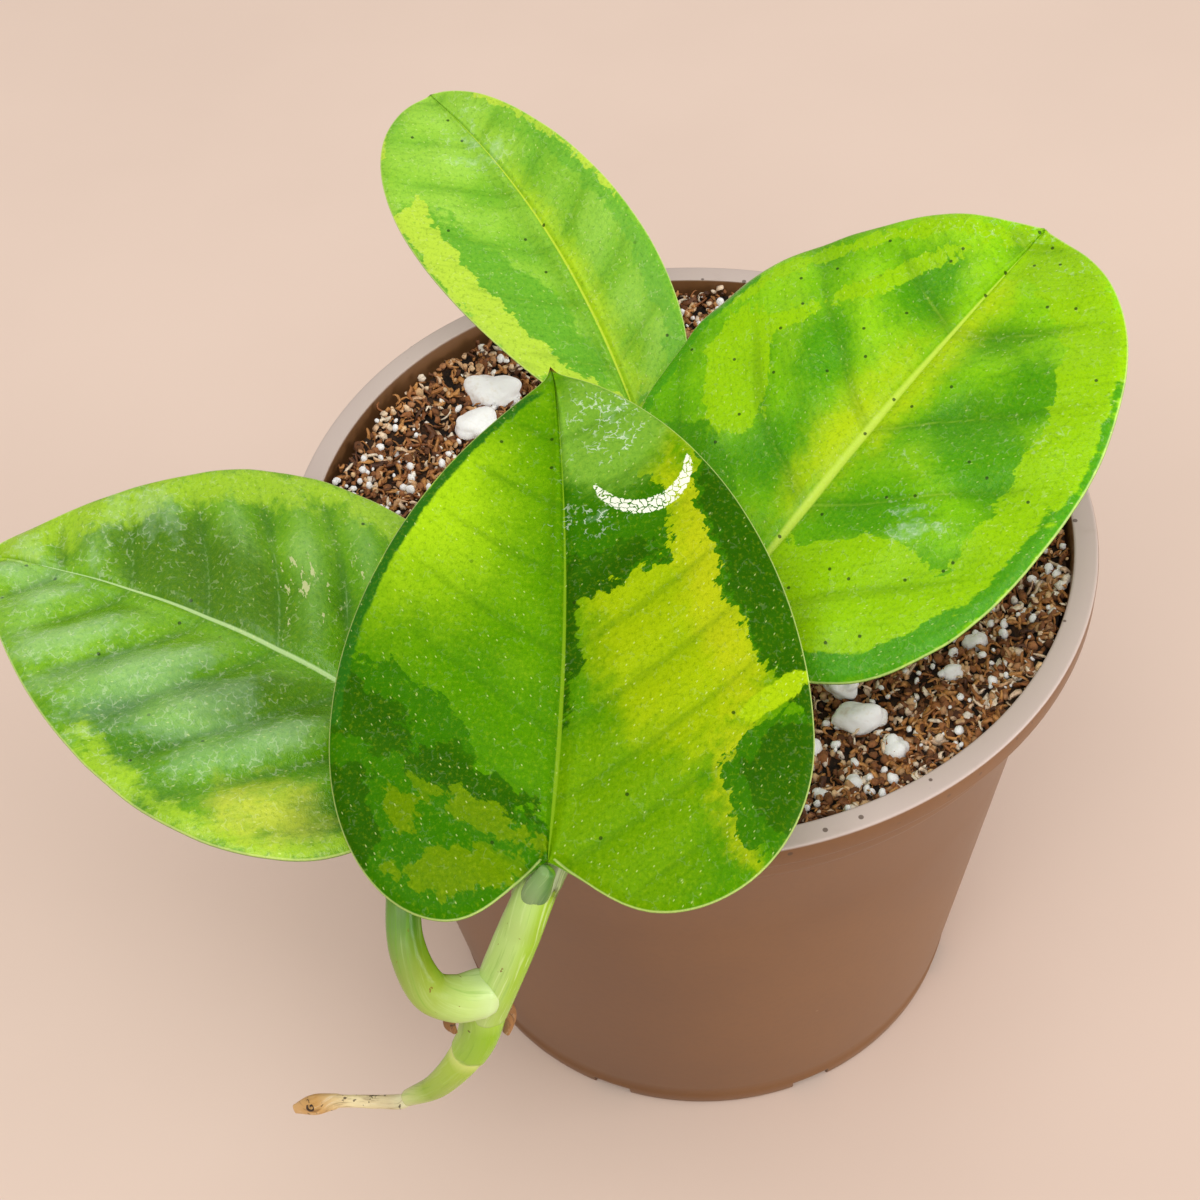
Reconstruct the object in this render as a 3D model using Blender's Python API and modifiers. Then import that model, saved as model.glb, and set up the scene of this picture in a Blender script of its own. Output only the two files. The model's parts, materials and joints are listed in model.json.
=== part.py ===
# A potted pothos: a small variegated vine rooted in a soft plastic nursery pot.
# Metres, +Z up. The origin is the middle of the pot's base, where the pot's axis meets the floor.
# Sizes are written in millimetres and turned into metres by mm.

import math
import random

import bpy
import bmesh
from mathutils import Matrix, Vector

mm = 0.001
gap = 0.3

# Driving dimensions of the pot
pot_height = 88.0
rim_radius = 55.0
base_radius = 40.0
wall = 1.1
floor_thickness = 2.0
lip_width = 2.7
lip_depth = 3.5
collar_depth = 8.8
collar_step = 2.0
collar_inside = rim_radius - lip_width - 0.6
drain_slots = 8
drain_slot_width = 6.0
drain_slot_height = 3.2
pot_steps = 64

# Driving dimensions of what grows in it
soil_top = pot_height - 6.5
soil_dome = 0.8
leaf_thickness = 0.8
stem_radius = 2.55
ribs_per_leaf = 18
strips_per_half = 5

# The vine climbs out of the soil, lies over the front of the rim and hangs in front of the pot.
# Each route has one point wherever the stem changes its way, and a smooth curve joins them.
stem_route = (
    (0, -14, 66), (0, -15, 78), (-2, -18, 87), (-6, -28, 94), (-12, -46, 97),
    (-18, -63, 97), (-21, -66.5, 91.5), (-24, -68, 84), (-26, -68, 78),
)
stem_radii = (2.2, 2.2, 2.2, 2.2, 2.2, 2.3, stem_radius, stem_radius, stem_radius)
tail_route = ((-26.5, -68, 76.5), (-28, -68, 71), (-31, -67.5, 64), (-35, -66, 56), (-39, -65, 51.5))
tail_radii = (2.5, 2.3, 2.0, 1.6, 1.1)
dry_tip_route = ((-39.5, -65, 50.5), (-44, -64, 49), (-48.5, -63.5, 48.5), (-52, -63, 47), (-55, -62.5, 45))
dry_tip_radii = (0.95, 0.85, 0.9, 1.3, 0.5)

petioles = {
    "front_petiole": dict(
        route=((-18.5, -63.5, 96), (-18.5, -66, 98.5), (-17, -65, 100.5)), radii=(1.4, 1.5, 0.9),
    ),
    "left_petiole": dict(
        route=((-25, -68, 82), (-28.5, -70.5, 84.5), (-32, -70, 86.5), (-34, -66.5, 91),
               (-34, -60, 95.5), (-35, -43.5, 97.3)),
        radii=(2.9, 2.7, 2.4, 2.1, 1.9, 1.1),
    ),
    "right_petiole": dict(
        route=((-2, -18.5, 87.5), (1.5, -22, 89.5), (5, -23, 93), (7, -20.5, 96.3)),
        radii=(2.1, 2.0, 1.8, 1.2),
    ),
    "back_petiole": dict(
        route=((-1.5, -16.5, 84), (-3, -8, 88.5), (-5, 2, 92.5), (-6, 12.5, 95.3)),
        radii=(2.1, 2.0, 1.8, 1.2),
    ),
}

root_stubs = {
    "left_aerial_root": ((-29.5, -69.5, 79.5), (-29.5, -70, 78), (-29, -70.5, 76.5)),
    "right_aerial_root": ((-23.5, -65.5, 75.5), (-23.5, -65.5, 72.5), (-24.5, -65.5, 69)),
}
root_stub_radii = (0.75, 0.8, 0.4)


def half(width, widest, lobe_reach, lobe_drop, blunt, straight=0.5):
    """One half of a heart-shaped blade. It is widest at a height above the junction, and its lobe is
    lowest at lobe_reach. blunt shapes the tip, 0.5 an ellipse and 1 a parabola, and straight does the
    same for the side between the lobe and the widest place."""
    return dict(width=width, widest=widest, lobe_reach=lobe_reach, lobe_drop=lobe_drop,
                blunt=blunt, straight=straight)


# A leaf is drawn flat, x across and y from its junction to its tip, then folded, curled and arched.
# turn is the way its tip points, anticlockwise from +Y, rise how steeply, and roll dips its right side.
leaves = {
    "front_leaf": dict(
        junction=(-17, -63.5, 101), turn=-1.5, rise=17.5, roll=0,
        length=62.5, bow=1.8, arch=1.5, fold=0.2, curl=0.17, half_width=28,
        left=half(25, 15, 11, 6.5, 1.0), right=half(30, 14, 13, 6, 0.7),
    ),
    "left_leaf": dict(
        junction=(-35, -41, 99.5), turn=65, rise=5, roll=0,
        length=60.5, bow=2.0, arch=2.0, fold=0.28, curl=0.2, half_width=28,
        left=half(26.5, 12, 12, 7.5, 1.1), right=half(25.5, 21, 11, 7, 1.1),
    ),
    "right_leaf": dict(
        junction=(7, -20.5, 98), turn=-46.5, rise=21.5, roll=0,
        length=60.5, bow=0, arch=1.5, fold=0.2, curl=0.17, half_width=28,
        left=half(28.5, 19, 11, 6.5, 0.55), right=half(29, 22, 9, 7.5, 0.42),
    ),
    "back_leaf": dict(
        junction=(-6, 11.5, 97), turn=31.5, rise=23.5, roll=-12,
        length=58, bow=2.9, arch=2.5, fold=0.4, curl=0.15, half_width=18,
        left=half(15, 37, 3, 1, 0.45, straight=1), right=half(14, 22, 4, 1.5, 0.65),
    ),
}

# The large perlite granules: x, y, length, width, height and turn in degrees. The small ones are
# strewn in patches: x, y, spread and how many.
large_granules = (
    (-28, 34, 9.5, 5.5, 5, 20), (-30, 27, 6.5, 5, 4.5, 0), (19, -25, 5, 4, 3.5, 35),
    (21, -31, 7.5, 4, 4, 165), (25, -36, 4, 3.5, 3.5, 80),
)
granule_patches = ((-34, 22, 9, 3), (4, 43, 5, 2), (18, -39, 4, 3), (39, -20, 6, 4), (42, -6, 6, 3))
small_granule = (2.2, 3.6)
granule_spacing = 0.8
granule_seed = 5
granule_sunk = 0.2


def clear_scene():
    for old in list(bpy.data.objects):
        bpy.data.objects.remove(old, do_unlink=True)


def new_collection(name):
    collection = bpy.data.collections.new(name)
    bpy.context.scene.collection.children.link(collection)
    return collection


def plain_material(name, colour, roughness):
    material = bpy.data.materials.new(name)
    material.use_nodes = True
    shader = material.node_tree.nodes["Principled BSDF"]
    shader.inputs["Base Color"].default_value = (*colour, 1)
    shader.inputs["Roughness"].default_value = roughness
    shader.inputs["Metallic"].default_value = 0
    return material


def place(name, data, collection, material=None):
    item = bpy.data.objects.new(name, data)
    collection.objects.link(item)
    if material is not None:
        data.materials.append(material)
    return item


def as_cutter(item):
    item.hide_render = True
    item.display_type = "WIRE"
    return item


def smooth_route(points, spans):
    """Points of a Catmull-Rom curve through the given ones, spans steps between each pair."""
    knots = [Vector(point) for point in points]
    knots = [2 * knots[0] - knots[1]] + knots + [2 * knots[-1] - knots[-2]]
    route = []
    for a, b, c, d in zip(knots, knots[1:], knots[2:], knots[3:]):
        for step in range(spans):
            t = step / spans
            route.append(0.5 * (2 * b + (c - a) * t + (2 * a - 5 * b + 4 * c - d) * t ** 2
                                + (3 * b - a - 3 * c + d) * t ** 3))
    route.append(knots[-2])
    return route


def tube(name, points, radii, collection, material=None, spans=2, extra=0.0):
    """A round tube along a smooth route, made a closed mesh so that it can be cut or cut with."""
    centres = smooth_route([(*point, radius) for point, radius in zip(points, radii)], spans)
    curve = bpy.data.curves.new(name, "CURVE")
    curve.dimensions = "3D"
    curve.bevel_depth = mm
    curve.bevel_resolution = 2
    curve.use_fill_caps = True
    spline = curve.splines.new("POLY")
    spline.points.add(len(centres) - 1)
    for point, (x, y, z, radius) in zip(spline.points, centres):
        point.co = (x * mm, y * mm, z * mm, 1)
        point.radius = radius + extra
    guide = bpy.data.objects.new(name + "_guide", curve)
    collection.objects.link(guide)
    bpy.context.view_layer.update()
    evaluated = guide.evaluated_get(bpy.context.evaluated_depsgraph_get())
    mesh = bpy.data.meshes.new_from_object(evaluated)
    bpy.data.objects.remove(guide, do_unlink=True)
    work = bmesh.new()
    work.from_mesh(mesh)
    bmesh.ops.remove_doubles(work, verts=work.verts, dist=0.01 * mm)
    work.to_mesh(mesh)
    work.free()
    mesh.name = name
    mesh.shade_smooth()
    return place(name, mesh, collection, material)


def turned(name, profile, steps, collection, material=None):
    """A turned solid: the profile runs from the axis, over the top and down its outer side."""
    mesh = bpy.data.meshes.new(name)
    corners = [(radius * mm, 0, height * mm) for radius, height in profile]
    mesh.from_pydata(corners, [(i, i + 1) for i in range(len(corners) - 1)], [])
    item = place(name, mesh, collection, material)
    screw = item.modifiers.new("Turn", "SCREW")
    screw.steps = steps
    screw.render_steps = steps
    screw.use_merge_vertices = True
    screw.merge_threshold = 0.01 * mm
    screw.use_smooth_shade = True
    return item


def cut(item, cutters, name="Cut"):
    """Take every solid of a collection, or one solid, out of an item."""
    boolean = item.modifiers.new(name, "BOOLEAN")
    boolean.operation = "DIFFERENCE"
    boolean.solver = "EXACT"
    if isinstance(cutters, bpy.types.Collection):
        boolean.operand_type = "COLLECTION"
        boolean.collection = cutters
    else:
        boolean.object = cutters


def inner_radius(height):
    """The pot's inside radius below its collar."""
    taper = (rim_radius - lip_width - collar_step - base_radius) / (pot_height - collar_depth)
    return base_radius + taper * height - wall


def make_pot(collection, cutters, material):
    shoulder = pot_height - collar_depth
    throat = inner_radius(shoulder)
    profile = (
        (0, floor_thickness), (inner_radius(floor_thickness) - 1, floor_thickness),
        (inner_radius(floor_thickness + 1), floor_thickness + 1), (throat, shoulder),
        (collar_inside - 0.3, shoulder + 0.8), (collar_inside, pot_height - 0.4),
        (collar_inside + 0.5, pot_height), (rim_radius - 0.5, pot_height),
        (rim_radius, pot_height - 0.5), (rim_radius, pot_height - lip_depth + 0.4),
        (rim_radius - 0.4, pot_height - lip_depth), (collar_inside + wall + 0.2, pot_height - lip_depth),
        (collar_inside + wall - 0.2, shoulder), (throat + wall, shoulder - 0.9),
        (base_radius + 0.15, 1.0), (base_radius - 0.8, 0), (0, 0),
    )
    pot = turned("pot", profile, pot_steps, collection, material)
    for number in range(drain_slots):
        angle = (number + 0.5) * math.tau / drain_slots
        bpy.ops.mesh.primitive_cube_add(size=1)
        slot = as_cutter(bpy.context.object)
        slot.name = "drain_slot_%d" % (number + 1)
        bpy.context.collection.objects.unlink(slot)
        cutters.objects.link(slot)
        reach = base_radius - 1.5
        slot.scale = (8 * mm, drain_slot_width * mm, drain_slot_height * mm)
        slot.rotation_euler = (0, 0, angle)
        slot.location = (reach * math.cos(angle) * mm, reach * math.sin(angle) * mm,
                         (0.5 * drain_slot_height - 0.8) * mm)
    cut(pot, cutters, "Drain slots")
    return pot


def make_soil(collection, sockets, material):
    low = floor_thickness + gap
    shoulder = pot_height - collar_depth
    brim = collar_inside - 0.2 - gap
    throat = inner_radius(shoulder) - gap
    profile = [(part * (brim - 0.4), soil_top + soil_dome * (1 - part ** 2))
               for part in (0, 0.25, 0.5, 0.75, 1)]
    profile += [(brim, soil_top - 0.4), (brim - 0.2, shoulder + 0.8 + gap), (throat, shoulder + gap),
                (inner_radius(low + 1.2) - gap, low + 1.2), (inner_radius(low) - 1.3, low), (0, low)]
    soil = turned("potting_soil", profile, 48, collection, material)
    cut(soil, sockets, "Sockets")
    return soil


def strewn_granules():
    """The large granules, then small ones in each patch, kept clear of the rim and of each other."""
    dice = random.Random(granule_seed)
    room = collar_inside - 4
    placed = list(large_granules)
    for patch_x, patch_y, spread, count in granule_patches:
        goal = len(placed) + count
        while len(placed) < goal:
            length = dice.uniform(*small_granule)
            width = length * dice.uniform(0.75, 0.95)
            x = patch_x + dice.uniform(-spread, spread)
            y = patch_y + dice.uniform(-spread, spread)
            clear = all(math.hypot(x - other[0], y - other[1]) > (length + other[2]) / 2 + granule_spacing
                        for other in placed)
            if clear and math.hypot(x, y) < room:
                placed.append((x, y, length, width, 0.8 * length, dice.uniform(0, 180)))
    return placed


def make_granule(name, spec, grow, collection, material=None):
    """A lumpy stone, pushed a little way into the soil; grow widens it into its own socket."""
    x, y, length, width, height, turn = spec
    work = bmesh.new()
    bmesh.ops.create_icosphere(work, subdivisions=2, radius=1)
    for vertex in work.verts:
        px, py, pz = vertex.co
        lump = 0.07 * math.sin(3.1 * px + x) * math.cos(2.7 * py + y) + 0.05 * math.sin(4 * pz + x)
        vertex.co *= 1 + lump
    stretch = Matrix.Diagonal([(side + grow) * mm / 2 for side in (length, width, height)] + [1])
    bmesh.ops.transform(work, matrix=stretch, verts=work.verts)
    mesh = bpy.data.meshes.new(name)
    work.to_mesh(mesh)
    work.free()
    mesh.shade_smooth()
    granule = place(name, mesh, collection, material)
    granule.location = (x * mm, y * mm, (soil_top + soil_dome * 0.5 + (0.5 - granule_sunk) * height) * mm)
    granule.rotation_euler = (0, 0, math.radians(turn))
    return granule


def along(points, part):
    """The point a given part of the way along a smooth line through the points."""
    line = smooth_route([(x, y, 0) for x, y in points], 6)
    steps = [(b - a).length for a, b in zip(line, line[1:])]
    left = part * sum(steps)
    for start, end, step in zip(line, line[1:], steps):
        if left <= step:
            return start.lerp(end, left / step)
        left -= step
    return line[-1]


def margin(side, length):
    """One half's margin: round the lobe, up the side and over the shoulder to the tip."""
    sinus_x, sinus_y, tip_x = 0.8, 0.4, 0.4
    points = []
    for step in range(5):
        turn = step / 5
        points.append((sinus_x + (side["lobe_reach"] - sinus_x) * turn,
                       sinus_y - (side["lobe_drop"] + sinus_y) * math.sin(turn * math.pi / 2)))
    for step in range(8):
        turn = step / 8 * math.pi / 2
        swell = math.sin(turn) ** (2 * side["straight"])
        points.append((side["lobe_reach"] + (side["width"] - side["lobe_reach"]) * swell,
                       side["widest"] - (side["widest"] + side["lobe_drop"]) * math.cos(turn)))
    for step in range(13):
        turn = step / 12 * math.pi / 2
        points.append((tip_x + (side["width"] - tip_x) * max(math.cos(turn), 0) ** (2 * side["blunt"]),
                       side["widest"] + (length - side["widest"]) * math.sin(turn)))
    return points


def leaf_height(leaf, x, y):
    """How far the blade stands above its flat outline."""
    part = y / leaf["length"]
    swell = leaf["arch"] * 4 * part * (1 - part)
    return swell + leaf["fold"] * abs(x) - leaf["curl"] * x * x / leaf["half_width"]


def leaf_frame(leaf):
    turn = Matrix.Rotation(math.radians(leaf["turn"]), 4, "Z")
    rise = Matrix.Rotation(math.radians(leaf["rise"]), 4, "X")
    roll = Matrix.Rotation(math.radians(leaf["roll"]), 4, "Y")
    return Matrix.Translation(Vector(leaf["junction"]) * mm) @ turn @ rise @ roll


def make_leaf(name, leaf, collection, material):
    """A blade woven from ribs that fan from its midrib to its margin, then given its thickness."""
    margins = {"left": [(-x, y) for x, y in margin(leaf["left"], leaf["length"])],
               "right": margin(leaf["right"], leaf["length"])}
    work = bmesh.new()
    bmesh.ops.create_grid(work, x_segments=2 * strips_per_half, y_segments=ribs_per_leaf, size=1)
    for vertex in work.verts:
        side = margins["left" if vertex.co.x < 0 else "right"]
        reach = abs(vertex.co.x)
        part = (vertex.co.y + 1) / 2
        root_part = part ** 1.5
        root = Vector((leaf["bow"] * 4 * root_part * (1 - root_part), leaf["length"] * root_part, 0))
        flat = root.lerp(along(side, part), reach)
        vertex.co = Vector((flat.x, flat.y, leaf_height(leaf, flat.x, flat.y))) * mm
    mesh = bpy.data.meshes.new(name)
    work.to_mesh(mesh)
    work.free()
    mesh.shade_smooth()
    blade = place(name, mesh, collection, material)
    blade.matrix_world = leaf_frame(leaf)
    body = blade.modifiers.new("Thickness", "SOLIDIFY")
    body.thickness = leaf_thickness * mm
    body.offset = -1
    return blade


def main():
    clear_scene()
    plant = new_collection("potted_pothos")
    cutters = new_collection("drain_cutters")
    sockets = new_collection("socket_cutters")
    clearances = new_collection("clearance_cutters")

    pot_plastic = plain_material("pot_plastic", (0.26, 0.14, 0.075), 0.5)
    soil_mix = plain_material("soil_mix", (0.12, 0.055, 0.025), 0.95)
    perlite_white = plain_material("perlite_white", (0.83, 0.81, 0.77), 0.85)
    stem_green = plain_material("stem_green", (0.48, 0.66, 0.2), 0.35)
    dry_tan = plain_material("dry_tan", (0.62, 0.44, 0.17), 0.6)
    root_brown = plain_material("root_brown", (0.3, 0.14, 0.05), 0.7)
    leaf_green = plain_material("leaf_green", (0.22, 0.45, 0.02), 0.3)

    make_pot(plant, cutters, pot_plastic)
    tube("main_stem", stem_route, stem_radii, plant, stem_green)
    socket_route = ((0, -14, stem_route[0][2] - gap),) + stem_route[1:4]
    as_cutter(tube("stem_socket", socket_route, stem_radii[:4], sockets, extra=gap))
    stem_clearance = as_cutter(tube("stem_clearance", stem_route, stem_radii, clearances, extra=gap))

    for number, spec in enumerate(strewn_granules(), start=1):
        make_granule("perlite_%02d" % number, spec, 0, plant, perlite_white)
        as_cutter(make_granule("socket_%02d" % number, spec, 2.4 * gap, sockets))
    make_soil(plant, sockets, soil_mix)

    for name, petiole in petioles.items():
        item = tube(name, petiole["route"], petiole["radii"], plant, stem_green)
        cut(item, stem_clearance)
    tube("vine_tail", tail_route, tail_radii, plant, stem_green)
    tube("dry_tip", dry_tip_route, dry_tip_radii, plant, dry_tan)
    for name, route in root_stubs.items():
        tube(name, route, root_stub_radii, plant, root_brown)
    for name, leaf in leaves.items():
        make_leaf(name, leaf, plant, leaf_green)


main()
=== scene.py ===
# A potted pothos: leaves, stems, soil, pot and studio light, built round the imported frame.
# Lengths are written in millimetres and turned into metres by mm.
import json
import math

import bpy
import bmesh
import numpy as np
from mathutils import Matrix, Vector

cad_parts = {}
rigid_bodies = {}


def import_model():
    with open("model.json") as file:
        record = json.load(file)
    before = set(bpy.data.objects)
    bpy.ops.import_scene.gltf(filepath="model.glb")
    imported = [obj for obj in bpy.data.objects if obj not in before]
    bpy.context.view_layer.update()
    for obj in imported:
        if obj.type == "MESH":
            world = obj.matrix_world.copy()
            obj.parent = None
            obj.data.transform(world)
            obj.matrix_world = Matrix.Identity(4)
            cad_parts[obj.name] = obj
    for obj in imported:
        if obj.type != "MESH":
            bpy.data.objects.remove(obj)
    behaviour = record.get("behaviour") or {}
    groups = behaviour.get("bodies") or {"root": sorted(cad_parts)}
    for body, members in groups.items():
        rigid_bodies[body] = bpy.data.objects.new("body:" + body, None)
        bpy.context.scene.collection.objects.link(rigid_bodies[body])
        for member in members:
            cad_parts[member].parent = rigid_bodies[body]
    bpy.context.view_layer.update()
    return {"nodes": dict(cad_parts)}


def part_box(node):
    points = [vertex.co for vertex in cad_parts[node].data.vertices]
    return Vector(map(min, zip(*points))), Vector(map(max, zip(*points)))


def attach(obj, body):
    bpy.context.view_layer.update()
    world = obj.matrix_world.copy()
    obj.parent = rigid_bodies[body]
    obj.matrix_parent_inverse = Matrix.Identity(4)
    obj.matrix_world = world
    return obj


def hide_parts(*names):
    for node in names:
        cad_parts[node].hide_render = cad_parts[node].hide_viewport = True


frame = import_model()
mm = 0.001
nowhere = -9.0  # the value of a field that shows nothing

studio = {
    "cameraPlace": (0, -189.8, 283.9),
    "aimPoint": (-11.06, -24.0, 100.0),
    "roll": 5.42,
    "lens": 60,
    "sensor": 36,
    "floorColour": "#dfc9ba",
    "floorCloud": "#dbc5b6",
    "cloudSize": 110,
    "floorReach": 3000,
    "skyColour": "#fff6ee",
    "skyStrength": 0.5,
    # place, aim, width, height, watts
    "lights": {
        "backSoftbox": ((60, 1750, 1950), (0, 0, 60), 1700, 600, 5.0),
        "frontSoftbox": ((-250, -1200, 2200), (0, 0, 60), 2000, 2000, 43.0),
        "rightFill": ((1700, -450, 380), (20, 0, 50), 1200, 700, 19.5),
    },
}


def tint(hexText):
    # sRGB hex to the linear colour that a socket takes
    channels = [int(hexText[n:n + 2], 16) / 255 for n in (1, 3, 5)]
    return tuple(c / 12.92 if c <= 0.04045 else ((c + 0.055) / 1.055) ** 2.4 for c in channels) + (1.0,)


def addNode(tree, kind, sockets=None, **settings):
    # shader kinds go without their prefix, and a node given for a socket is linked by its first live output
    node = tree.nodes.new(kind if "Node" in kind else "ShaderNode" + kind)
    for name, value in settings.items():
        if name == "stops":  # a ramp's places and colours
            while len(node.color_ramp.elements) < len(value):
                node.color_ramp.elements.new(0.5)
            for element, (place, hexText) in zip(node.color_ramp.elements, value):
                element.position, element.color = place, tint(hexText)
        else:
            setattr(node, name, value)
    for name, value in (sockets or {}).items():
        if isinstance(value, bpy.types.Node):
            value = next(output for output in value.outputs if output.enabled)
        if isinstance(value, bpy.types.NodeSocket):
            tree.links.new(value, node.inputs[name])
        else:
            node.inputs[name].default_value = value
    return node


def newMaterial(name, **patterns):
    # patterns: noise in the object's own coordinates, each by its size in mm, detail and roughness
    material = bpy.data.materials.new(name)
    material.use_nodes = True
    tree = material.node_tree
    tree.nodes.clear()
    place = addNode(tree, "TexCoord").outputs["Object"] if patterns else None
    grain = {key: addNode(tree, "TexNoise", {
        "Vector": place, "Scale": 1 / (size * mm), "Detail": detail, "Roughness": roughness})
        for key, (size, detail, roughness) in patterns.items()}
    return material, tree, place, grain


def finishMaterial(material, sockets, relief=None):
    # relief: a height, how strongly it shows, and its depth in mm
    tree = material.node_tree
    if relief:
        height, strength, depth = relief
        sockets["Normal"] = addNode(tree, "Bump", {"Height": height, "Strength": strength, "Distance": depth * mm})
    addNode(tree, "OutputMaterial", {"Surface": addNode(tree, "BsdfPrincipled", sockets)})
    return material


def paintLayers(tree, colour, layers):
    # each layer: its colour, its strength, then the limits it keeps to (value, where none shows, where all does)
    for hexText, strength, *limits in layers:
        for value, none, full in limits:
            strength = addNode(tree, "MapRange", {
                "Value": value, "From Min": none, "From Max": full, "To Max": strength},
                interpolation_type="SMOOTHSTEP")
        colour = addNode(tree, "Mix", {0: strength, 6: colour, 7: tint(hexText)}, data_type="RGBA")
    return colour


def softNoise(x, y, size, seed):
    # smooth bumps about size across, from -1 to 1
    lattice = np.random.default_rng(seed).uniform(-1, 1, (64, 64))
    u, v = np.asarray(x) / size + 20, np.asarray(y) / size + 20
    i, j = np.floor(u).astype(int), np.floor(v).astype(int)
    fu, fv = u - i, v - j
    fu, fv = fu * fu * (3 - 2 * fu), fv * fv * (3 - 2 * fv)
    near, far = [lattice[i % 64, k % 64] * (1 - fu) + lattice[(i + 1) % 64, k % 64] * fu for k in (j, j + 1)]
    return near * (1 - fv) + far * fv


def fullTurn(count):
    return np.arange(count) / count * math.tau


def ringPoints(angles, radii, levels):
    return np.stack([np.cos(angles) * radii, np.sin(angles) * radii, levels + 0 * angles * radii], -1)


def gridFaces(rows, columns, closed=False):
    # the numbers of a grid's points, and the faces between them; a closed grid's rows join end to end
    at = np.arange(rows * columns).reshape(rows, columns)
    here, beside = (at, np.roll(at, -1, axis=1)) if closed else (at[:, :-1], at[:, 1:])
    return at, np.stack([here[:-1], beside[:-1], beside[1:], here[1:]], -1).reshape(-1, 4)


def meshFrom(name, points, faces):
    mesh = bpy.data.meshes.new(name)
    mesh.from_pydata((np.asarray(points) * mm).tolist(), [], [tuple(face) for face in faces])
    mesh.shade_smooth()
    return mesh


def meshOf(work, name):
    # a bmesh written out and let go
    mesh = bpy.data.meshes.new(name)
    work.to_mesh(mesh)
    work.free()
    mesh.shade_smooth()
    return mesh


def storeField(mesh, name, values):
    values = np.asarray(values, float)
    kind, key = ("FLOAT_VECTOR", "vector") if values.ndim == 2 else ("FLOAT", "value")
    mesh.attributes.new(name, kind, "POINT").data.foreach_set(key, values.ravel())


def addObject(name, data, shelf=None):
    item = bpy.data.objects.new(name, data)
    (shelf or bpy.context.scene.collection).objects.link(item)
    return item


def shapedMesh(item, shelf):
    # the item's mesh once its modifiers have run; the item and its shelf of helpers are then let go
    bpy.context.view_layer.update()
    mesh = bpy.data.meshes.new_from_object(item.evaluated_get(bpy.context.evaluated_depsgraph_get()))
    for spent in (item, *shelf.objects):
        bpy.data.objects.remove(spent)
    bpy.data.collections.remove(shelf)
    mesh.shade_smooth()
    return mesh


def setDown(name, mesh, material, slot, *replaced):
    piece = addObject(name, mesh)
    if material is not None:
        mesh.materials.append(material)
    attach(piece, "root")
    if replaced:
        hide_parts(*replaced)
    print("made", name, len(mesh.polygons), "faces")


def smoothRoute(points, spans):
    # a Catmull-Rom curve through the points, with any columns after x, y and z carried along
    knots = np.array(points, float)
    knots = np.vstack([2 * knots[0] - knots[1], knots, 2 * knots[-1] - knots[-2]])
    t = (np.arange(spans) / spans)[:, None]
    route = [0.5 * (2 * b + (c - a) * t + (2 * a - 5 * b + 4 * c - d) * t ** 2 + (3 * b - a - 3 * c + d) * t ** 3)
             for a, b, c, d in zip(knots, knots[1:], knots[2:], knots[3:])]
    return np.vstack(route + [knots[-2]])


def half(width, widest, lobeReach, lobeDrop, blunt, straight=0.5):
    return dict(width=width, widest=widest, lobeReach=lobeReach, lobeDrop=lobeDrop, blunt=blunt, straight=straight)


# ribScale turns reach into mm near the midrib, sideScale sets how sharply a patch stops there, and sideGap keeps the
# patterns of the two halves apart
blade = {
    "rows": 158, "halfColumns": 52, "thickness": 0.8, "edgeThickness": 0.34, "keel": 0.55,
    "ribScale": 27, "sideScale": 210, "sideGap": 150,
}

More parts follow.
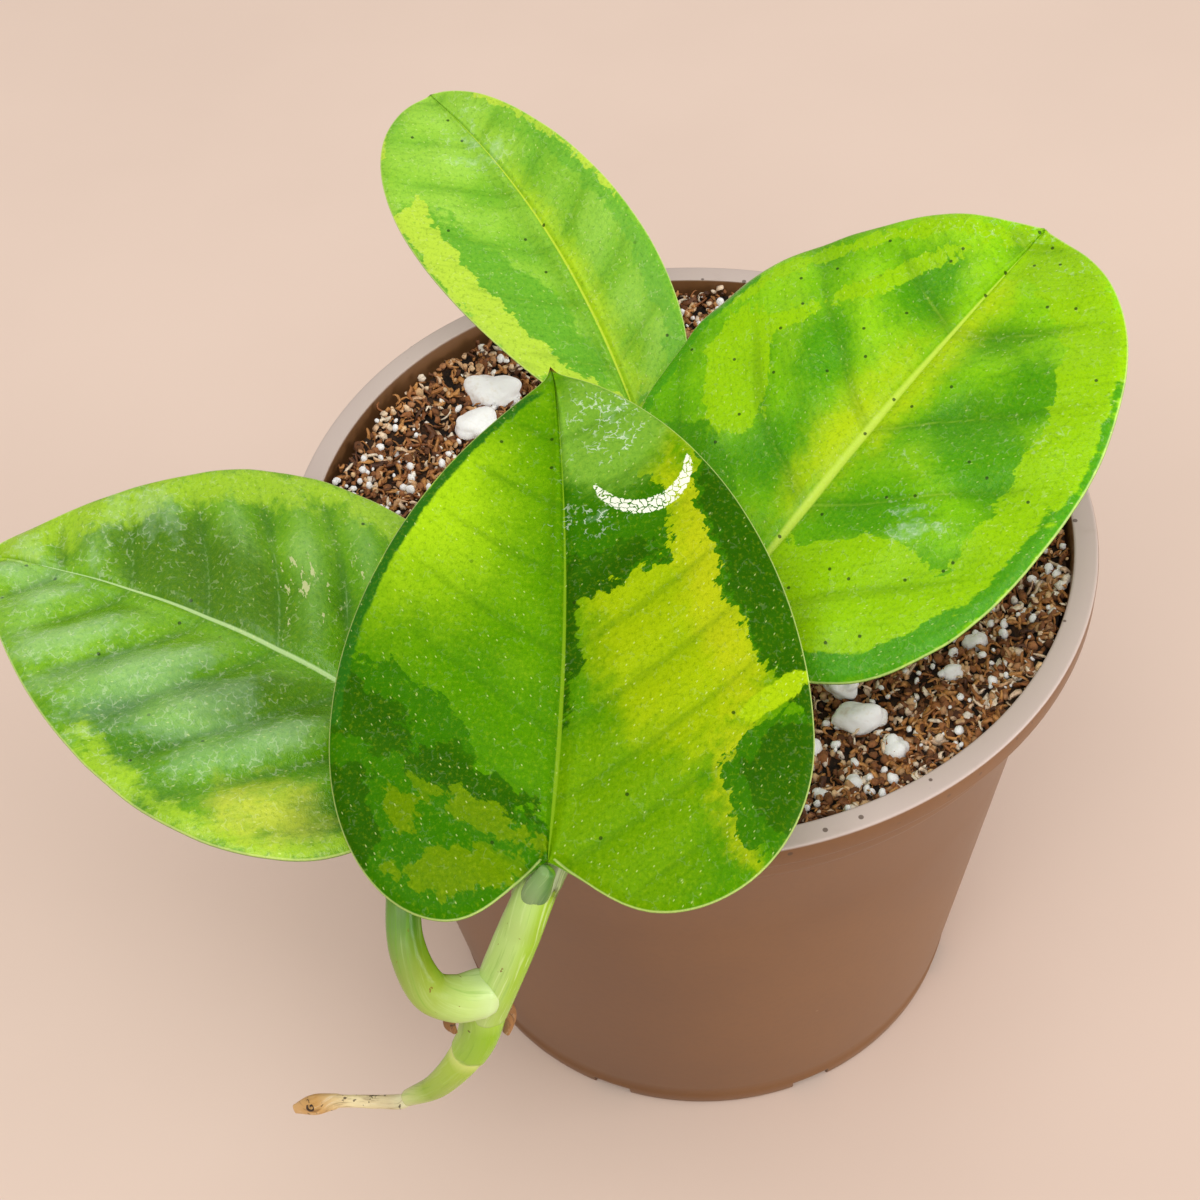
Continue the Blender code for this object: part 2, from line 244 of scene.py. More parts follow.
# Each blade: its place and form, its relief, then its colours and where they lie, all in mm along and across the leaf.
# relief: lift is how far the left and right margins turn up.
# tones: colour, then the softness and raggedness of its edge, painted in this order.
# patches: tone, x, y, half lengths across and along, turn; each stops at the midrib unless x is 0.
# bands: tone, side, from y, to y, inner and outer distance from the margin.
# hollow and crest: painted shade in the low ground and a painted highlight on the high ground, each a colour and how
# strongly it shows.
# haze: patches of painted sheen, partly a dried water film, sheenAndFilmAmount its strength, rings that of the rings
# dried in it.
# flecks: patches of cream flecks. marks, dots, veins, mottle: how strongly the worm lines, dark dots, side veins and
# darker clouds show; veins also sets the painted shade along the sunk side-vein creases.
# scar: centre, radius, from and to angle, half width.
# gloss and satin: how much it shines, how softly.
leaves = {
    "front_leaf": dict(
        junction=(-17, -63.5, 101), turn=-1.5, rise=17.5, roll=0,
        length=62.5, bow=1.8, arch=1.5, fold=0.2, curl=0.17, halfWidth=28,
        left=half(25, 15, 11, 6.5, 1.0), right=half(30, 14, 13, 6, 0.7),
        relief=dict(pleat=0.16, pleats=7, pucker=0.22, puckerSize=13, roll=0.7, groove=0.35, seed=3),
        baseLow="#4e8a00", baseHigh="#5e9800", rib="#86b01c", ribWidth=0.24, mottle=0.12,
        tones={
            "bright": ("#a8d616", 8.0, 1.0), "lobe": ("#6c9c00", 3.5, 0.6), "yellow": ("#9cb804", 3.0, 1.0),
            "gold": ("#b0be10", 2.0, 1.0), "green": ("#347200", 0.14, 1.0), "deep": ("#285a00", 0.3, 1.0),
            "olive": ("#628600", 0.2, 1.0), "spike": ("#a2c40a", 0.12, 0.25), "pale": ("#7aae34", 2.0, 0.8),
            # roll: painted shade along the left margin where it rolls under
            "roll": ("#2c6e14", 0.2, 0.2),
        },
        patches=(
            ("bright", -17, 47, 10, 15, 12), ("lobe", 8, 4, 10, 12, 0), ("yellow", 15, 30, 11, 19, 8),
            ("gold", 19, 34, 3.6, 16, 12), ("gold", 21.5, 9, 2.2, 8, 0),
            ("green", -28, -2, 24, 27, 0), ("green", -11, 0, 13, 9, 0), ("green", 5, 40.5, 10, 8, 0),
            ("green", 27.5, 37, 8.5, 23, 16), ("deep", -23, 18, 10, 3.4, -32), ("deep", -9, 9, 9, 2.6, -30),
            ("deep", 1, 25, 2.4, 11, 0), ("deep", 4.5, 34, 8, 2.6, 25), ("deep", 27.5, 35, 7, 22, 16),
            ("deep", -26, 4, 7, 8, -20),
            ("green", 28.5, 8, 8.5, 9, 0), ("deep", 28.5, 8.5, 6.5, 7, 0),
            ("olive", -8, 5.5, 6, 1.6, -25), ("olive", -10, -1, 7, 2.6, 8), ("olive", -17, 6, 3, 2, -30),
            ("spike", 25.5, 18.2, 5.5, 1.3, 38), ("pale", 6.5, 54, 7, 9, 0),
        ),
        # the roll band paints shade along the rolled-under left margin
        bands=(("roll", "left", 16, 59, 0, 1.5),), hollow=("#4a8a00", 0.3), crestHighlight=("#b0d828", 0.22),
        tipReach=(-0.5, 1.2), haze=((7, 54, 5, 7, 0), (5, 41, 4, 2.5, 0)), sheenAndFilmAmount=0.3, rings=0.5, flecks=(),
        marks=0.05,
        scar=(10.6, 48.2, 5.8, 200, 372, 0.95), dots=0.03, gloss=0.03, satin=0.28, veins=0.26,
    ),
    "left_leaf": dict(
        junction=(-35, -41, 99.5), turn=65, rise=5, roll=0,
        length=60.5, bow=2.0, arch=2.0, fold=0.28, curl=0.2, halfWidth=28,
        left=half(26.5, 12, 12, 7.5, 1.02), right=half(25.5, 21, 11, 7, 1.1),
        relief=dict(pleat=1.05, pleats=6, pucker=0.5, puckerSize=9, roll=0.4, groove=0.3, seed=8, lift=(0, 1.7)),
        baseLow="#64a00c", baseHigh="#80b820", rib="#bcdc94", ribWidth=0.3, mottle=0.25,
        tones={
            "deep": ("#4e7e0a", 3.5, 1.0), "lime": ("#9cc828", 1.0, 1.0), "yellow": ("#b8c83c", 2.8, 1.0),
        },
        patches=(
            ("deep", 6.5, 31, 6.5, 17, -10), ("deep", -6, 14, 4, 9, 25), ("yellow", -20, 6, 3.4, 6, 25),
            ("lime", 27, 13, 6.5, 9, 0), ("lime", 3, 58, 5, 6, 0),
        ),
        bands=(("lime", "left", -8, 30, 0, 2.6), ("lime", "right", -5, 62, 0, 3.0), ("lime", "right", 24, 62, 0, 4.8)),
        hollow=("#3c7414", 0.7), crestHighlight=("#9ccc74", 0.4),
        haze=((-13, 26, 11, 24, 0), (-1, 50, 7, 10, 0), (12, 42, 6, 9, 0)), sheenAndFilmAmount=0.12, rings=0.1, marks=0.15,
        flecks=((10, 18, 5, 8, -35), (15, 13, 3, 5, -35)), scar=None, dots=0.05, gloss=0.32, satin=0.17, veins=0.3,
    ),
    "right_leaf": dict(
        junction=(7, -20.5, 98), turn=-46.5, rise=21.5, roll=0,
        length=60.5, bow=0, arch=1.5, fold=0.2, curl=0.17, halfWidth=28,
        left=half(29.6, 24, 11, 6.5, 0.74), right=half(29, 22, 9, 7.5, 0.42),
        relief=dict(pleat=0.4, pleats=4, pucker=1.0, puckerSize=11, roll=0.6, groove=0.35, seed=14, lift=(1.0, 0)),
        baseLow="#68b200", baseHigh="#90d408", rib="#cdea54", ribWidth=0.62, mottle=0.15,
        tones={
            "cloud": ("#52a000", 2.4, 0.8), "yellow": ("#b4d60c", 3.0, 0.8), "lime": ("#96ce00", 0.14, 0.8),
            "lobe": ("#4e9800", 0.6, 0.8), "edge": ("#4ea00c", 0.2, 0.4),
        },
        patches=(
            ("cloud", 15, 40, 5, 4.5, 0), ("cloud", 15, 29, 6.5, 5.5, 0), ("cloud", 8, 15, 6.5, 3.4, 30),
            ("cloud", -7, 46, 4, 6.5, 0), ("cloud", -12, 31, 3.6, 8, 25), ("cloud", -6, 18, 3.4, 5, 0),
            ("yellow", -2, 24, 3.4, 11, 0), ("yellow", 1, 40, 2, 16, 0), ("lime", -19.5, 22, 4.5, 10, 31),
            ("lime", -13, 41, 1.2, 16, -30), ("lime", 13, 4, 15, 9, 30), ("lobe", -16, 3, 9, 11, 25),
        ),
        bands=(
            ("lime", "left", 30, 60, 1.2, 3.4), ("lime", "right", 0, 64, 0, 8.0),
            ("edge", "left", -20, 36, 0, 1.5), ("edge", "right", -20, 12, 0, 3.4), ("edge", "right", 4, 27, 0, 2.3),
            ("edge", "right", 20, 46, 0, 0.9),
        ),
        hollow=("#348400", 0.55), crestHighlight=("#a4dc20", 0.45),
        haze=((12, 18, 5, 4, 0), (18, 36, 4, 2.5, 30), (0, 59, 5, 2, 0)), sheenAndFilmAmount=0.35, rings=0.15, marks=0.1,
        flecks=(), scar=None, dots=0.16, gloss=0.15, satin=0.2, veins=0.22,
    ),
    "back_leaf": dict(
        junction=(-6, 11.5, 97), turn=31.5, rise=23.5, roll=-12,
        length=58, bow=2.9, arch=2.5, fold=0.4, curl=0.15, halfWidth=18,
        left=half(15, 37, 3, 1, 0.45, straight=1), right=half(14, 22, 4, 1.5, 0.65),
        relief=dict(pleat=0.18, pleats=6, pucker=0.35, puckerSize=9, roll=0.4, groove=0.25, seed=21),
        baseLow="#7cba28", baseHigh="#96cc40", rib="#cbe63c", ribWidth=0.32, mottle=0.1,
        tones={
            "deep": ("#6aae2c", 0.6, 1.0), "yellow": ("#b8de20", 2.4, 0.6), "edge": ("#70b430", 0.5, 0.8),
            "lime": ("#b6d840", 0.15, 0.8),
        },
        patches=(
            ("deep", -8, 24, 5.5, 19, 19), ("yellow", 1.6, 17, 2.4, 18, -3), ("lime", -11.5, 54, 2, 3, 0),
        ),
        bands=(
            ("edge", "right", 2, 44, 0, 2.8), ("lime", "left", 2, 41, 0, 4.6), ("lime", "right", 28, 54, 0, 0.9),
        ),
        hollow=("#62ac24", 0.5), crestHighlight=("#b0e25e", 0.35), marks=0.12,
        haze=((2, 46, 4, 6, 0),), sheenAndFilmAmount=0.2, rings=0.1, flecks=(), scar=None, dots=0.06, gloss=0.12,
        satin=0.24, veins=0.14,
    ),
}


def marginOf(side, length):
    # one half's outline: round the lobe, up the side and over the shoulder to the tip
    width, widest, lobeReach, lobeDrop = [side[key] for key in ("width", "widest", "lobeReach", "lobeDrop")]
    lobe = np.arange(8) / 8
    points = [np.stack([0.8 + (lobeReach - 0.8) * lobe, 0.4 - (lobeDrop + 0.4) * np.sin(lobe * math.pi / 2)], 1)]
    turn = np.arange(24) / 24 * math.pi / 2
    points.append(np.stack([lobeReach + (width - lobeReach) * np.sin(turn) ** (2 * side["straight"]),
                            widest - (widest + lobeDrop) * np.cos(turn)], 1))
    turn = np.arange(49) / 48 * math.pi / 2
    points.append(np.stack([0.4 + (width - 0.4) * np.maximum(np.cos(turn), 0) ** (2 * side["blunt"]),
                            widest + (length - widest) * np.sin(turn)], 1))
    return np.vstack(points)


def spreadAlong(points, parts):
    # the points at these parts of the way along a line
    way = np.concatenate([[0], np.cumsum(np.hypot(*np.diff(points, axis=0).T))])
    return np.stack([np.interp(parts * way[-1], way, points[:, n]) for n in (0, 1)], 1)


def distanceToLine(x, y, line):
    nearest = np.full(x.shape, 99.0)
    for start, end in zip(line, line[1:]):
        step = end - start
        way = np.clip(((x - start[0]) * step[0] + (y - start[1]) * step[1]) / max(step @ step, 1e-9), 0, 1)
        nearest = np.minimum(nearest, np.hypot(x - start[0] - way * step[0], y - start[1] - way * step[1]))
    return nearest


def alongVein(leaf, x, y):
    # lateral veins leave the bowed midrib at a low angle and bend on towards the tip
    lengthPart = y / leaf["length"]
    out = x - leaf["bow"] * 4 * lengthPart * (1 - lengthPart)
    return y - 0.5 * np.abs(out) - 0.011 * out * out


def patchField(x, y, patch):
    cx, cy, across, along, turn = patch
    c, s = math.cos(math.radians(turn)), math.sin(math.radians(turn))
    u, v = (x - cx) * c + (y - cy) * s, -(x - cx) * s + (y - cy) * c
    return (1 - np.hypot(u / across, v / along)) * min(across, along)


def leafFrame(leaf):
    turn, rise, roll = [Matrix.Rotation(math.radians(leaf[key]), 3, axis)
                        for key, axis in (("turn", "Z"), ("rise", "X"), ("roll", "Y"))]
    return np.array(turn @ rise @ roll)


def bladeRelief(leaf, x, y, reach, part, edgeDistance):
    relief = leaf["relief"]
    seed, size = relief["seed"], relief["puckerSize"]
    mid = np.abs(reach)
    sway = 0.12 * softNoise(x, y, 14, seed)
    phase = math.pi * (relief["pleats"] * alongVein(leaf, x, y) / leaf["length"] + sway)
    crease = np.abs(np.sin(phase + 0.8))
    pleats = 0.5 * np.sin(2 * phase) + 0.9 * crease ** 0.8 - 0.55  # puffed between sunk veins
    pleats = relief["pleat"] * pleats * np.sin(math.pi * mid ** 0.8)
    pucker = relief["pucker"] * softNoise(x, y, size, seed + 1) * np.minimum(mid * 3, 1)
    pucker += 0.3 * relief["pucker"] * softNoise(x, y, size / 2.6, seed + 2) * np.minimum(mid * 4, 1)
    fromRib = mid * blade["ribScale"]
    groove = -relief["groove"] * np.exp(-(fromRib / (0.9 - 0.5 * part)) ** 2)
    shoulders = 0.5 * relief["groove"] * np.exp(-((fromRib - 1.7) / 0.9) ** 2)
    roll = -relief["roll"] * np.maximum(1 - edgeDistance / 1.6, 0) ** 2
    wave = 0.35 * softNoise(y, y * 0 + seed, 12, seed + 3) * mid ** 3
    leftLift, rightLift = relief.get("lift", (0, 0))
    wave += np.where(reach < 0, leftLift, rightLift) * mid ** 3 * np.sin(math.pi * part)
    swell = 0.6 * pleats / relief["pleat"] + 0.8 * pucker / relief["pucker"]
    return pleats + pucker + groove + shoulders + roll + wave, swell, crease + 0.5 * mid ** 6


def colourFields(leaf, x, y, reach, edgeDistance):
    # how far inside each colour's patches and bands a point lies, in mm
    fields = {key: np.full(x.shape, nowhere) for key in (*leaf["tones"], "haze", "flecks", "scar")}
    for tone, *patch in leaf["patches"]:
        ownSide = 99 if patch[0] == 0 else np.sign(patch[0]) * reach * blade["sideScale"] + 0.3
        fields[tone] = np.maximum(fields[tone], np.minimum(patchField(x, y, patch), ownSide))
    for tone, where, start, end, inner, outer in leaf["bands"]:
        onSide = (x < 0) if where == "left" else (x > 0)
        band = np.minimum.reduce([
            outer - edgeDistance, edgeDistance - inner + 0.02, (y - start) * 0.4, (end - y) * 0.4])
        fields[tone] = np.where(onSide, np.maximum(fields[tone], band), fields[tone])
    for kind in ("haze", "flecks"):
        for patch in leaf[kind]:
            fields[kind] = np.maximum(fields[kind], patchField(x, y, patch))
    if leaf["scar"]:
        sx, sy, radius, start, end, width = leaf["scar"]
        sweep = (np.degrees(np.arctan2(y - sy, x - sx)) - start) % 360 / (end - start)
        thick = width * np.sqrt(np.clip(4 * sweep * (1 - sweep), 0, 1))
        fields["scar"] = np.where(sweep < 1, thick - np.abs(np.hypot(x - sx, y - sy) - radius), nowhere)
    return fields


def makeBlade(name, leaf, material):
    part, side = np.linspace(0, 1, blade["rows"] + 1), np.linspace(0, 1, blade["halfColumns"] + 1)
    side = 0.5 * side + 0.25 * (1 - np.cos(math.pi * side))  # closer columns at the midrib and the margin
    reach = np.concatenate([-side[:0:-1], side])
    rootPart = part ** 1.5
    root = np.stack([leaf["bow"] * 4 * rootPart * (1 - rootPart), leaf["length"] * rootPart], 1)
    leftMargin = spreadAlong(marginOf(leaf["left"], leaf["length"]), part) * (-1, 1)
    rightMargin = spreadAlong(marginOf(leaf["right"], leaf["length"]), part)
    onLeft = (reach < 0)[None, :, None]
    flat = root[:, None] + np.abs(reach)[None, :, None] * (
        np.where(onLeft, leftMargin[:, None], rightMargin[:, None]) - root[:, None])
    x, y = flat[..., 0].ravel(), flat[..., 1].ravel()
    reachAt, partAt = [field.ravel() for field in np.broadcast_arrays(reach[None], part[:, None])]
    edgeDistance = np.minimum(distanceToLine(x, y, leftMargin), distanceToLine(x, y, rightMargin))
    tipX, tipY = leaf.get("tipReach", (0, 0.5))  # the drip point at the leaf's end
    pull = np.exp(-np.hypot(x, (leaf["length"] - y) * 0.9) / 0.7)
    x, y = x + tipX * pull, y + tipY * pull

    lengthPart = y / leaf["length"]
    z = leaf["arch"] * 4 * lengthPart * (1 - lengthPart)
    z = z + leaf["fold"] * np.abs(x) - leaf["curl"] * x * x / leaf["halfWidth"]
    raised, swell, crease = bladeRelief(leaf, x, y, reachAt, partAt, edgeDistance)
    top = np.stack([x, y, z + raised], 1)
    fade = np.minimum(edgeDistance / 3, 1)
    thick = blade["edgeThickness"] + (blade["thickness"] - blade["edgeThickness"]) * fade
    fromRib = np.abs(reachAt) * blade["ribScale"]
    thick = thick + blade["keel"] * np.exp(-(fromRib / 1.4) ** 2) * (1 - partAt) ** 0.7 * fade
    under = top - np.array([0, 0, 1]) * thick[:, None]
    points = np.vstack([top, under]) @ leafFrame(leaf).T + leaf["junction"]

    at, quads = gridFaces(len(part), len(reach))
    ring = np.concatenate([at[0, :], at[1:, -1], at[-1, -2::-1], at[-2:0:-1, 0]])
    following = np.roll(ring, -1)
    rim = np.stack([ring, ring + at.size, following + at.size, following], 1)
    mesh = meshFrom(name, points, quads.tolist() + (quads[:, ::-1] + at.size).tolist() + rim.tolist())

    ribWay = np.stack([np.abs(x), alongVein(leaf, x, y) + np.where(reachAt < 0, blade["sideGap"], 0), x * 0], 1)
    fields = {"flat": top * (1, 1, 0), "ribWay": ribWay, "fromRib": fromRib, "fromEdge": edgeDistance,
              "along": lengthPart, "swell": swell, "crease": crease,
              **colourFields(leaf, x, y, reachAt, edgeDistance)}
    for key, values in fields.items():
        storeField(mesh, key, np.concatenate([values, values]))
    storeField(mesh, "underside", np.repeat([0.0, 1.0], at.size))
    setDown("blade_" + name, mesh, material, "leaf_blade", name)


# pattern: the map it lies on, its size across and along in mm, detail, roughness
skinPatterns = {
    "broad": ("flat", 11, 11, 4, 0.55), "blotch": ("flat", 4.2, 4.2, 3, 0.55), "teeth": ("ribWay", 2.2, 1.3, 4, 0.65),
    "pools": ("ribWay", 8, 5, 4, 0.6), "streaks": ("ribWay", 4, 0.8, 4, 0.6), "smear": ("ribWay", 13, 3.5, 4, 0.6),
    "patchy": ("flat", 1.4, 1.4, 3, 0.6), "cells": ("flat", 0.55, 0.55, 4, 0.7), "fine": ("flat", 0.38, 0.38, 5, 0.6),
}


def waxyLeaf(name, leaf):
    # living leaf under a thin smooth wax: a satin gloss, and fine cells that keep any colour from lying flat
    material, tree, *_ = newMaterial(name)
    kept = ("flat", "ribWay", "fromRib", "fromEdge", "along", "underside", "swell", "crease", "haze", "flecks", "scar")
    read = {key: addNode(tree, "Attribute", attribute_name=key) for key in (*kept, *leaf["tones"])}
    grain = {}
    for key, (place, across, lengthwise, detail, roughness) in skinPatterns.items():
        spread = addNode(tree, "Mapping", {"Vector": read[place], "Scale": (1 / across, 1 / lengthwise, 1)})
        grain[key] = addNode(tree, "TexNoise", {
            "Vector": spread, "Scale": 1.0, "Detail": detail, "Roughness": roughness}, noise_dimensions="2D")
    stirred = addNode(tree, "VectorMath", {
        0: grain["patchy"].outputs["Color"], 1: (1.6, 1.6, 0), 2: read["flat"]}, operation="MULTIPLY_ADD")
    cell, own = {}, {}
    for key, place, size, feature in (
            ("block", read["flat"], 0.8, "F1"), ("fleck", read["ribWay"], 1.0, "F1"), ("dot", read["flat"], 3.0, "F1"),
            ("worm", stirred, 1.0, "DISTANCE_TO_EDGE"), ("net", stirred, 0.9, "DISTANCE_TO_EDGE")):
        cell[key] = addNode(tree, "TexVoronoi", {"Vector": place, "Scale": 1 / size},
                            feature=feature, voronoi_dimensions="2D")
        if feature == "F1":
            own[key] = addNode(tree, "SeparateColor", {0: cell[key].outputs["Color"]})

    # sums: what is added up, then each part and its amount
    # ragged: a colour's edge steps round blocks of cells, wanders by a millimetre or two and runs out along the veins
    # film: painted sheen, partly dried water, streaked along the veins and gathered on the crests, with rings where it
    # pooled
    worms = addNode(tree, "MapRange", {
        "Value": cell["worm"], "From Min": 0.12, "From Max": 0.05}, interpolation_type="SMOOTHSTEP")  # as wide as shows
    sums = {
        "ragged": (-4.1, (own["block"], 0.7), (grain["teeth"], 3.0), (grain["blotch"], 4.5)),
        "height": (read["along"], (grain["broad"], 1.5)),
        "sheenAndFilmMask": (read["haze"], (grain["smear"], 12.0), (read["swell"], 3.5), (grain["patchy"], 7.0)),
        "creamy": (read["flecks"], (grain["teeth"], 26.0)),
        "scar": (read["scar"], (grain["cells"], 0.7)),
        "tip": (read["along"], (grain["cells"], 0.01)),
        "relief": (0.0, (grain["fine"], 0.5), (grain["patchy"], 1.3), (worms, 0.16)),
    }
    for key, (total, *parts) in sums.items():
        for part, amount in parts:
            total = addNode(tree, "Math", {0: part, 1: amount, 2: total}, operation="MULTIPLY_ADD")
        sums[key] = total
    layers = [
        (leaf["baseHigh"], 1.0, (sums["height"], 0.85, 1.7)), ("#4a8a04", leaf["mottle"], (grain["pools"], 0.47, 0.62)),
        # painted shade in the low ground and a painted highlight on the high ground
        (*leaf["hollow"], (read["swell"], 0.1, -0.8)), (*leaf["crestHighlight"], (read["swell"], 0.0, 0.9)),
    ]
    for tone, (hexText, softness, raggedness) in leaf["tones"].items():
        edge = addNode(tree, "Math", {0: sums["ragged"], 1: raggedness, 2: read[tone]}, operation="MULTIPLY_ADD")
        layers.append((hexText, 1.0, (edge, -softness, softness)))
    ribWidth = addNode(tree, "MapRange", {
        "Value": read["along"], "To Min": 1.5 * leaf["ribWidth"], "To Max": 0.45 * leaf["ribWidth"]})
    fromRib = addNode(tree, "Math", {0: read["fromRib"], 1: ribWidth}, operation="DIVIDE")
    layers += [
        # painted shade in the low ground once more, laid over the tones
        (leaf["hollow"][0], 0.45 * leaf["hollow"][1], (read["swell"], 0.0, -0.9)),
        ("#d0e22a", 0.12, (grain["cells"], 0.5, 0.75)), ("#2a6200", 0.35, (grain["cells"], 0.5, 0.25)),
        # the #346c08 layer is painted shade along the sunk side-vein creases; the rib-coloured line after it is the
        # veins' own colour
        ("#3a7504", 0.14, (grain["streaks"], 0.5, 0.3)), ("#346c08", leaf["veins"], (read["crease"], 0.3, 0.08)),
        (leaf["rib"], 0.7 * leaf["veins"], (read["crease"], 0.07, 0.02)),
        (leaf["rib"], 0.9, (fromRib, 1.1, 0.45)),
        ("#e2ee96", 0.4, (cell["fleck"], 0.13, 0.07), (own["fleck"], 0.82, 0.86)),
        ("#e2f0b4", leaf["marks"], (worms, 0.0, 1.0), (grain["patchy"], 0.56, 0.62)),
        ("#26420a", 0.85, (cell["dot"], 0.09, 0.055), (own["dot"], 1 - leaf["dots"], 1.01 - leaf["dots"])),
        # painted sheen, partly a dried water film
        ("#c4e2cc", leaf["sheenAndFilmAmount"], (sums["sheenAndFilmMask"], 11.5, 15.5)),
        ("#e6f3e2", leaf["rings"], (worms, 0.0, 1.0), (sums["sheenAndFilmMask"], 9.0, 12.5), (grain["patchy"], 0.47, 0.54)),
        ("#d3d69e", 0.75, (sums["creamy"], 19.2, 19.9)),
        ("#f1f4e2", 1.0, (sums["scar"], 0.35, 0.45), (cell["net"], 0.05, 0.11)),
        ("#6b3c1c", 0.9, (sums["tip"], 1.008, 1.016)),
        ("#d3e68a", 0.6, (read["fromEdge"], 0.2, 0.06)),  # the margin is a thin clear line
        ("#8db654", 1.0, (read["underside"], 0.0, 1.0)),
    ]
    satin = addNode(tree, "MapRange", {
        "Value": grain["fine"], "From Min": 0.3, "From Max": 0.7,
        "To Min": leaf["satin"], "To Max": leaf["satin"] + 0.14})
    satin = addNode(tree, "Math", {0: read["underside"], 1: 0.25, 2: satin}, operation="MULTIPLY_ADD")
    return finishMaterial(material, {
        "Base Color": paintLayers(tree, tint(leaf["baseLow"]), layers), "Roughness": satin, "IOR": 1.45,
        "Specular IOR Level": leaf["gloss"]}, (sums["relief"], 0.6, 0.16))


# Stems, stalks and roots. Routes keep near the solids' and run on where one piece grows out of another.
# tones: place along the tube, colour. seams: place along it where the skin steps in, and the step's share of the
# radius. pale: how strongly the side facing the light is painted lighter, and how strongly the pale strands show.
# dome: how far its ends bulge.
# ridges and depth: how many run along it, and how deep as a share of the radius.
# domeRings: size and place of the rings that round an end. Last, the way that the side painted as lit faces.
stalk = {
    "around": 36, "spans": 22, "domeRings": ((0.87, 0.5), (0.6, 0.8), (0.25, 0.97)), "lightWay": (-0.75, -0.45, 0.48),
}
tubes = {
    "main_stem": dict(
        route=((0, -14, 66), (0, -15, 78), (-2, -18, 87), (-6, -28, 94), (-12, -46, 97),
               (-18, -63, 97), (-21, -66.5, 91.5), (-24, -68, 84), (-26, -68, 78)),
        radii=(2.2, 2.2, 2.2, 2.2, 2.2, 2.3, 2.55, 2.55, 2.55), ridges=5, depth=0.02,
        tones=((0.0, "#9fc84a"), (0.7, "#9aa878"), (0.77, "#8c9470"), (0.776, "#3c2e18"), (0.783, "#94b828"),
               (0.9, "#98bc30"), (1.0, "#a2c248")),
        seams=((0.778, 0.09),), pale=0.4,
    ),
    "vine_tail": dict(
        route=((-26.1, -68, 78.6), (-26.5, -68, 76.5), (-28, -68, 71), (-31, -67.5, 64), (-35, -66, 56),
               (-39, -65, 51.5)),
        radii=(2.2, 2.5, 2.3, 2.0, 1.6, 1.1), ridges=5, depth=0.02,
        tones=((0.0, "#a2c248"), (0.1, "#8cb800"), (0.34, "#90ba00"), (0.36, "#ccdc6c"), (0.44, "#a0c010"),
               (0.8, "#8eae10"), (1.0, "#c8cc8c")),
        seams=((0.35, 0.07),), pale=0.1,
    ),
    "dry_tip": dict(
        route=((-38.4, -65.2, 52), (-40.2, -64.9, 50.4), (-44, -64, 49), (-48.5, -63.5, 48.5), (-52, -63, 47),
               (-55, -62.5, 45)),
        radii=(0.85, 1.08, 1.0, 0.95, 1.3, 0.6), ridges=3, depth=0.1,
        tones=((0.0, "#dfe0b4"), (0.2, "#d6c79c"), (0.5, "#ead9a8"), (0.75, "#cc9c58"), (1.0, "#d8ac70")),
        seams=((0.62, -0.14),),
    ),
    "front_petiole": dict(
        route=((-19.6, -65.4, 94.6), (-18.6, -65.2, 97.6), (-17, -64.4, 100.6)), radii=(0.9, 1.6, 1),
        ridges=3, depth=0.04, tones=((0.0, "#6c8058"), (0.5, "#5c7c48"), (1.0, "#4c7c30")), seams=((0.2, 0.1),),
    ),
    "left_petiole": dict(
        route=((-26.2, -69.3, 83.5), (-29, -70.6, 84.8), (-32, -70, 86.5), (-34, -66.5, 91),
               (-34, -60, 95.5), (-35, -43.5, 97.3)),
        radii=(2.9, 2.7, 2.4, 2.1, 1.9, 1.1), ridges=5, depth=0.03,
        tones=((0.0, "#c2d894"), (0.07, "#b4cc74"), (0.15, "#98ac3c"), (0.26, "#7c9022"), (0.4, "#4c7a1a"),
               (1.0, "#3f6e1e")),
        pale=0.12, dome=0.85,
    ),
    "right_petiole": dict(
        route=((-2, -18.5, 87.5), (1.5, -22, 89.5), (5, -23, 93), (7, -20.5, 96.3)),
        radii=(2.1, 2.0, 1.8, 1.2), ridges=5, depth=0.035,
        tones=((0.0, "#a4cc4c"), (1.0, "#8ec03c")),
    ),
    "back_petiole": dict(
        route=((-1.5, -16.5, 84), (-3, -8, 88.5), (-5, 2, 92.5), (-6, 12.5, 95.3)),
        radii=(2.1, 2.0, 1.8, 1.2), ridges=5, depth=0.035,
        tones=((0.0, "#a4cc4c"), (1.0, "#8ec03c")),
    ),
    "left_aerial_root": dict(
        route=((-27, -68.6, 80.8), (-29.6, -69.4, 79.8), (-30.2, -70, 78.4), (-29.7, -70.4, 76.9)),
        radii=(0.7, 0.75, 0.7, 0.3), ridges=3, depth=0.12, tones=((0.0, "#6e5024"), (1.0, "#8a5c2a")),
    ),
    "right_aerial_root": dict(
        route=((-24.7, -66.5, 76), (-24.1, -65.9, 73.6), (-24.2, -65.6, 71), (-24.6, -65.5, 68.2)),
        radii=(0.7, 1.0, 1.0, 0.5), ridges=3, depth=0.12, tones=((0.0, "#7d5426"), (1.0, "#ad7636")),
    ),
}


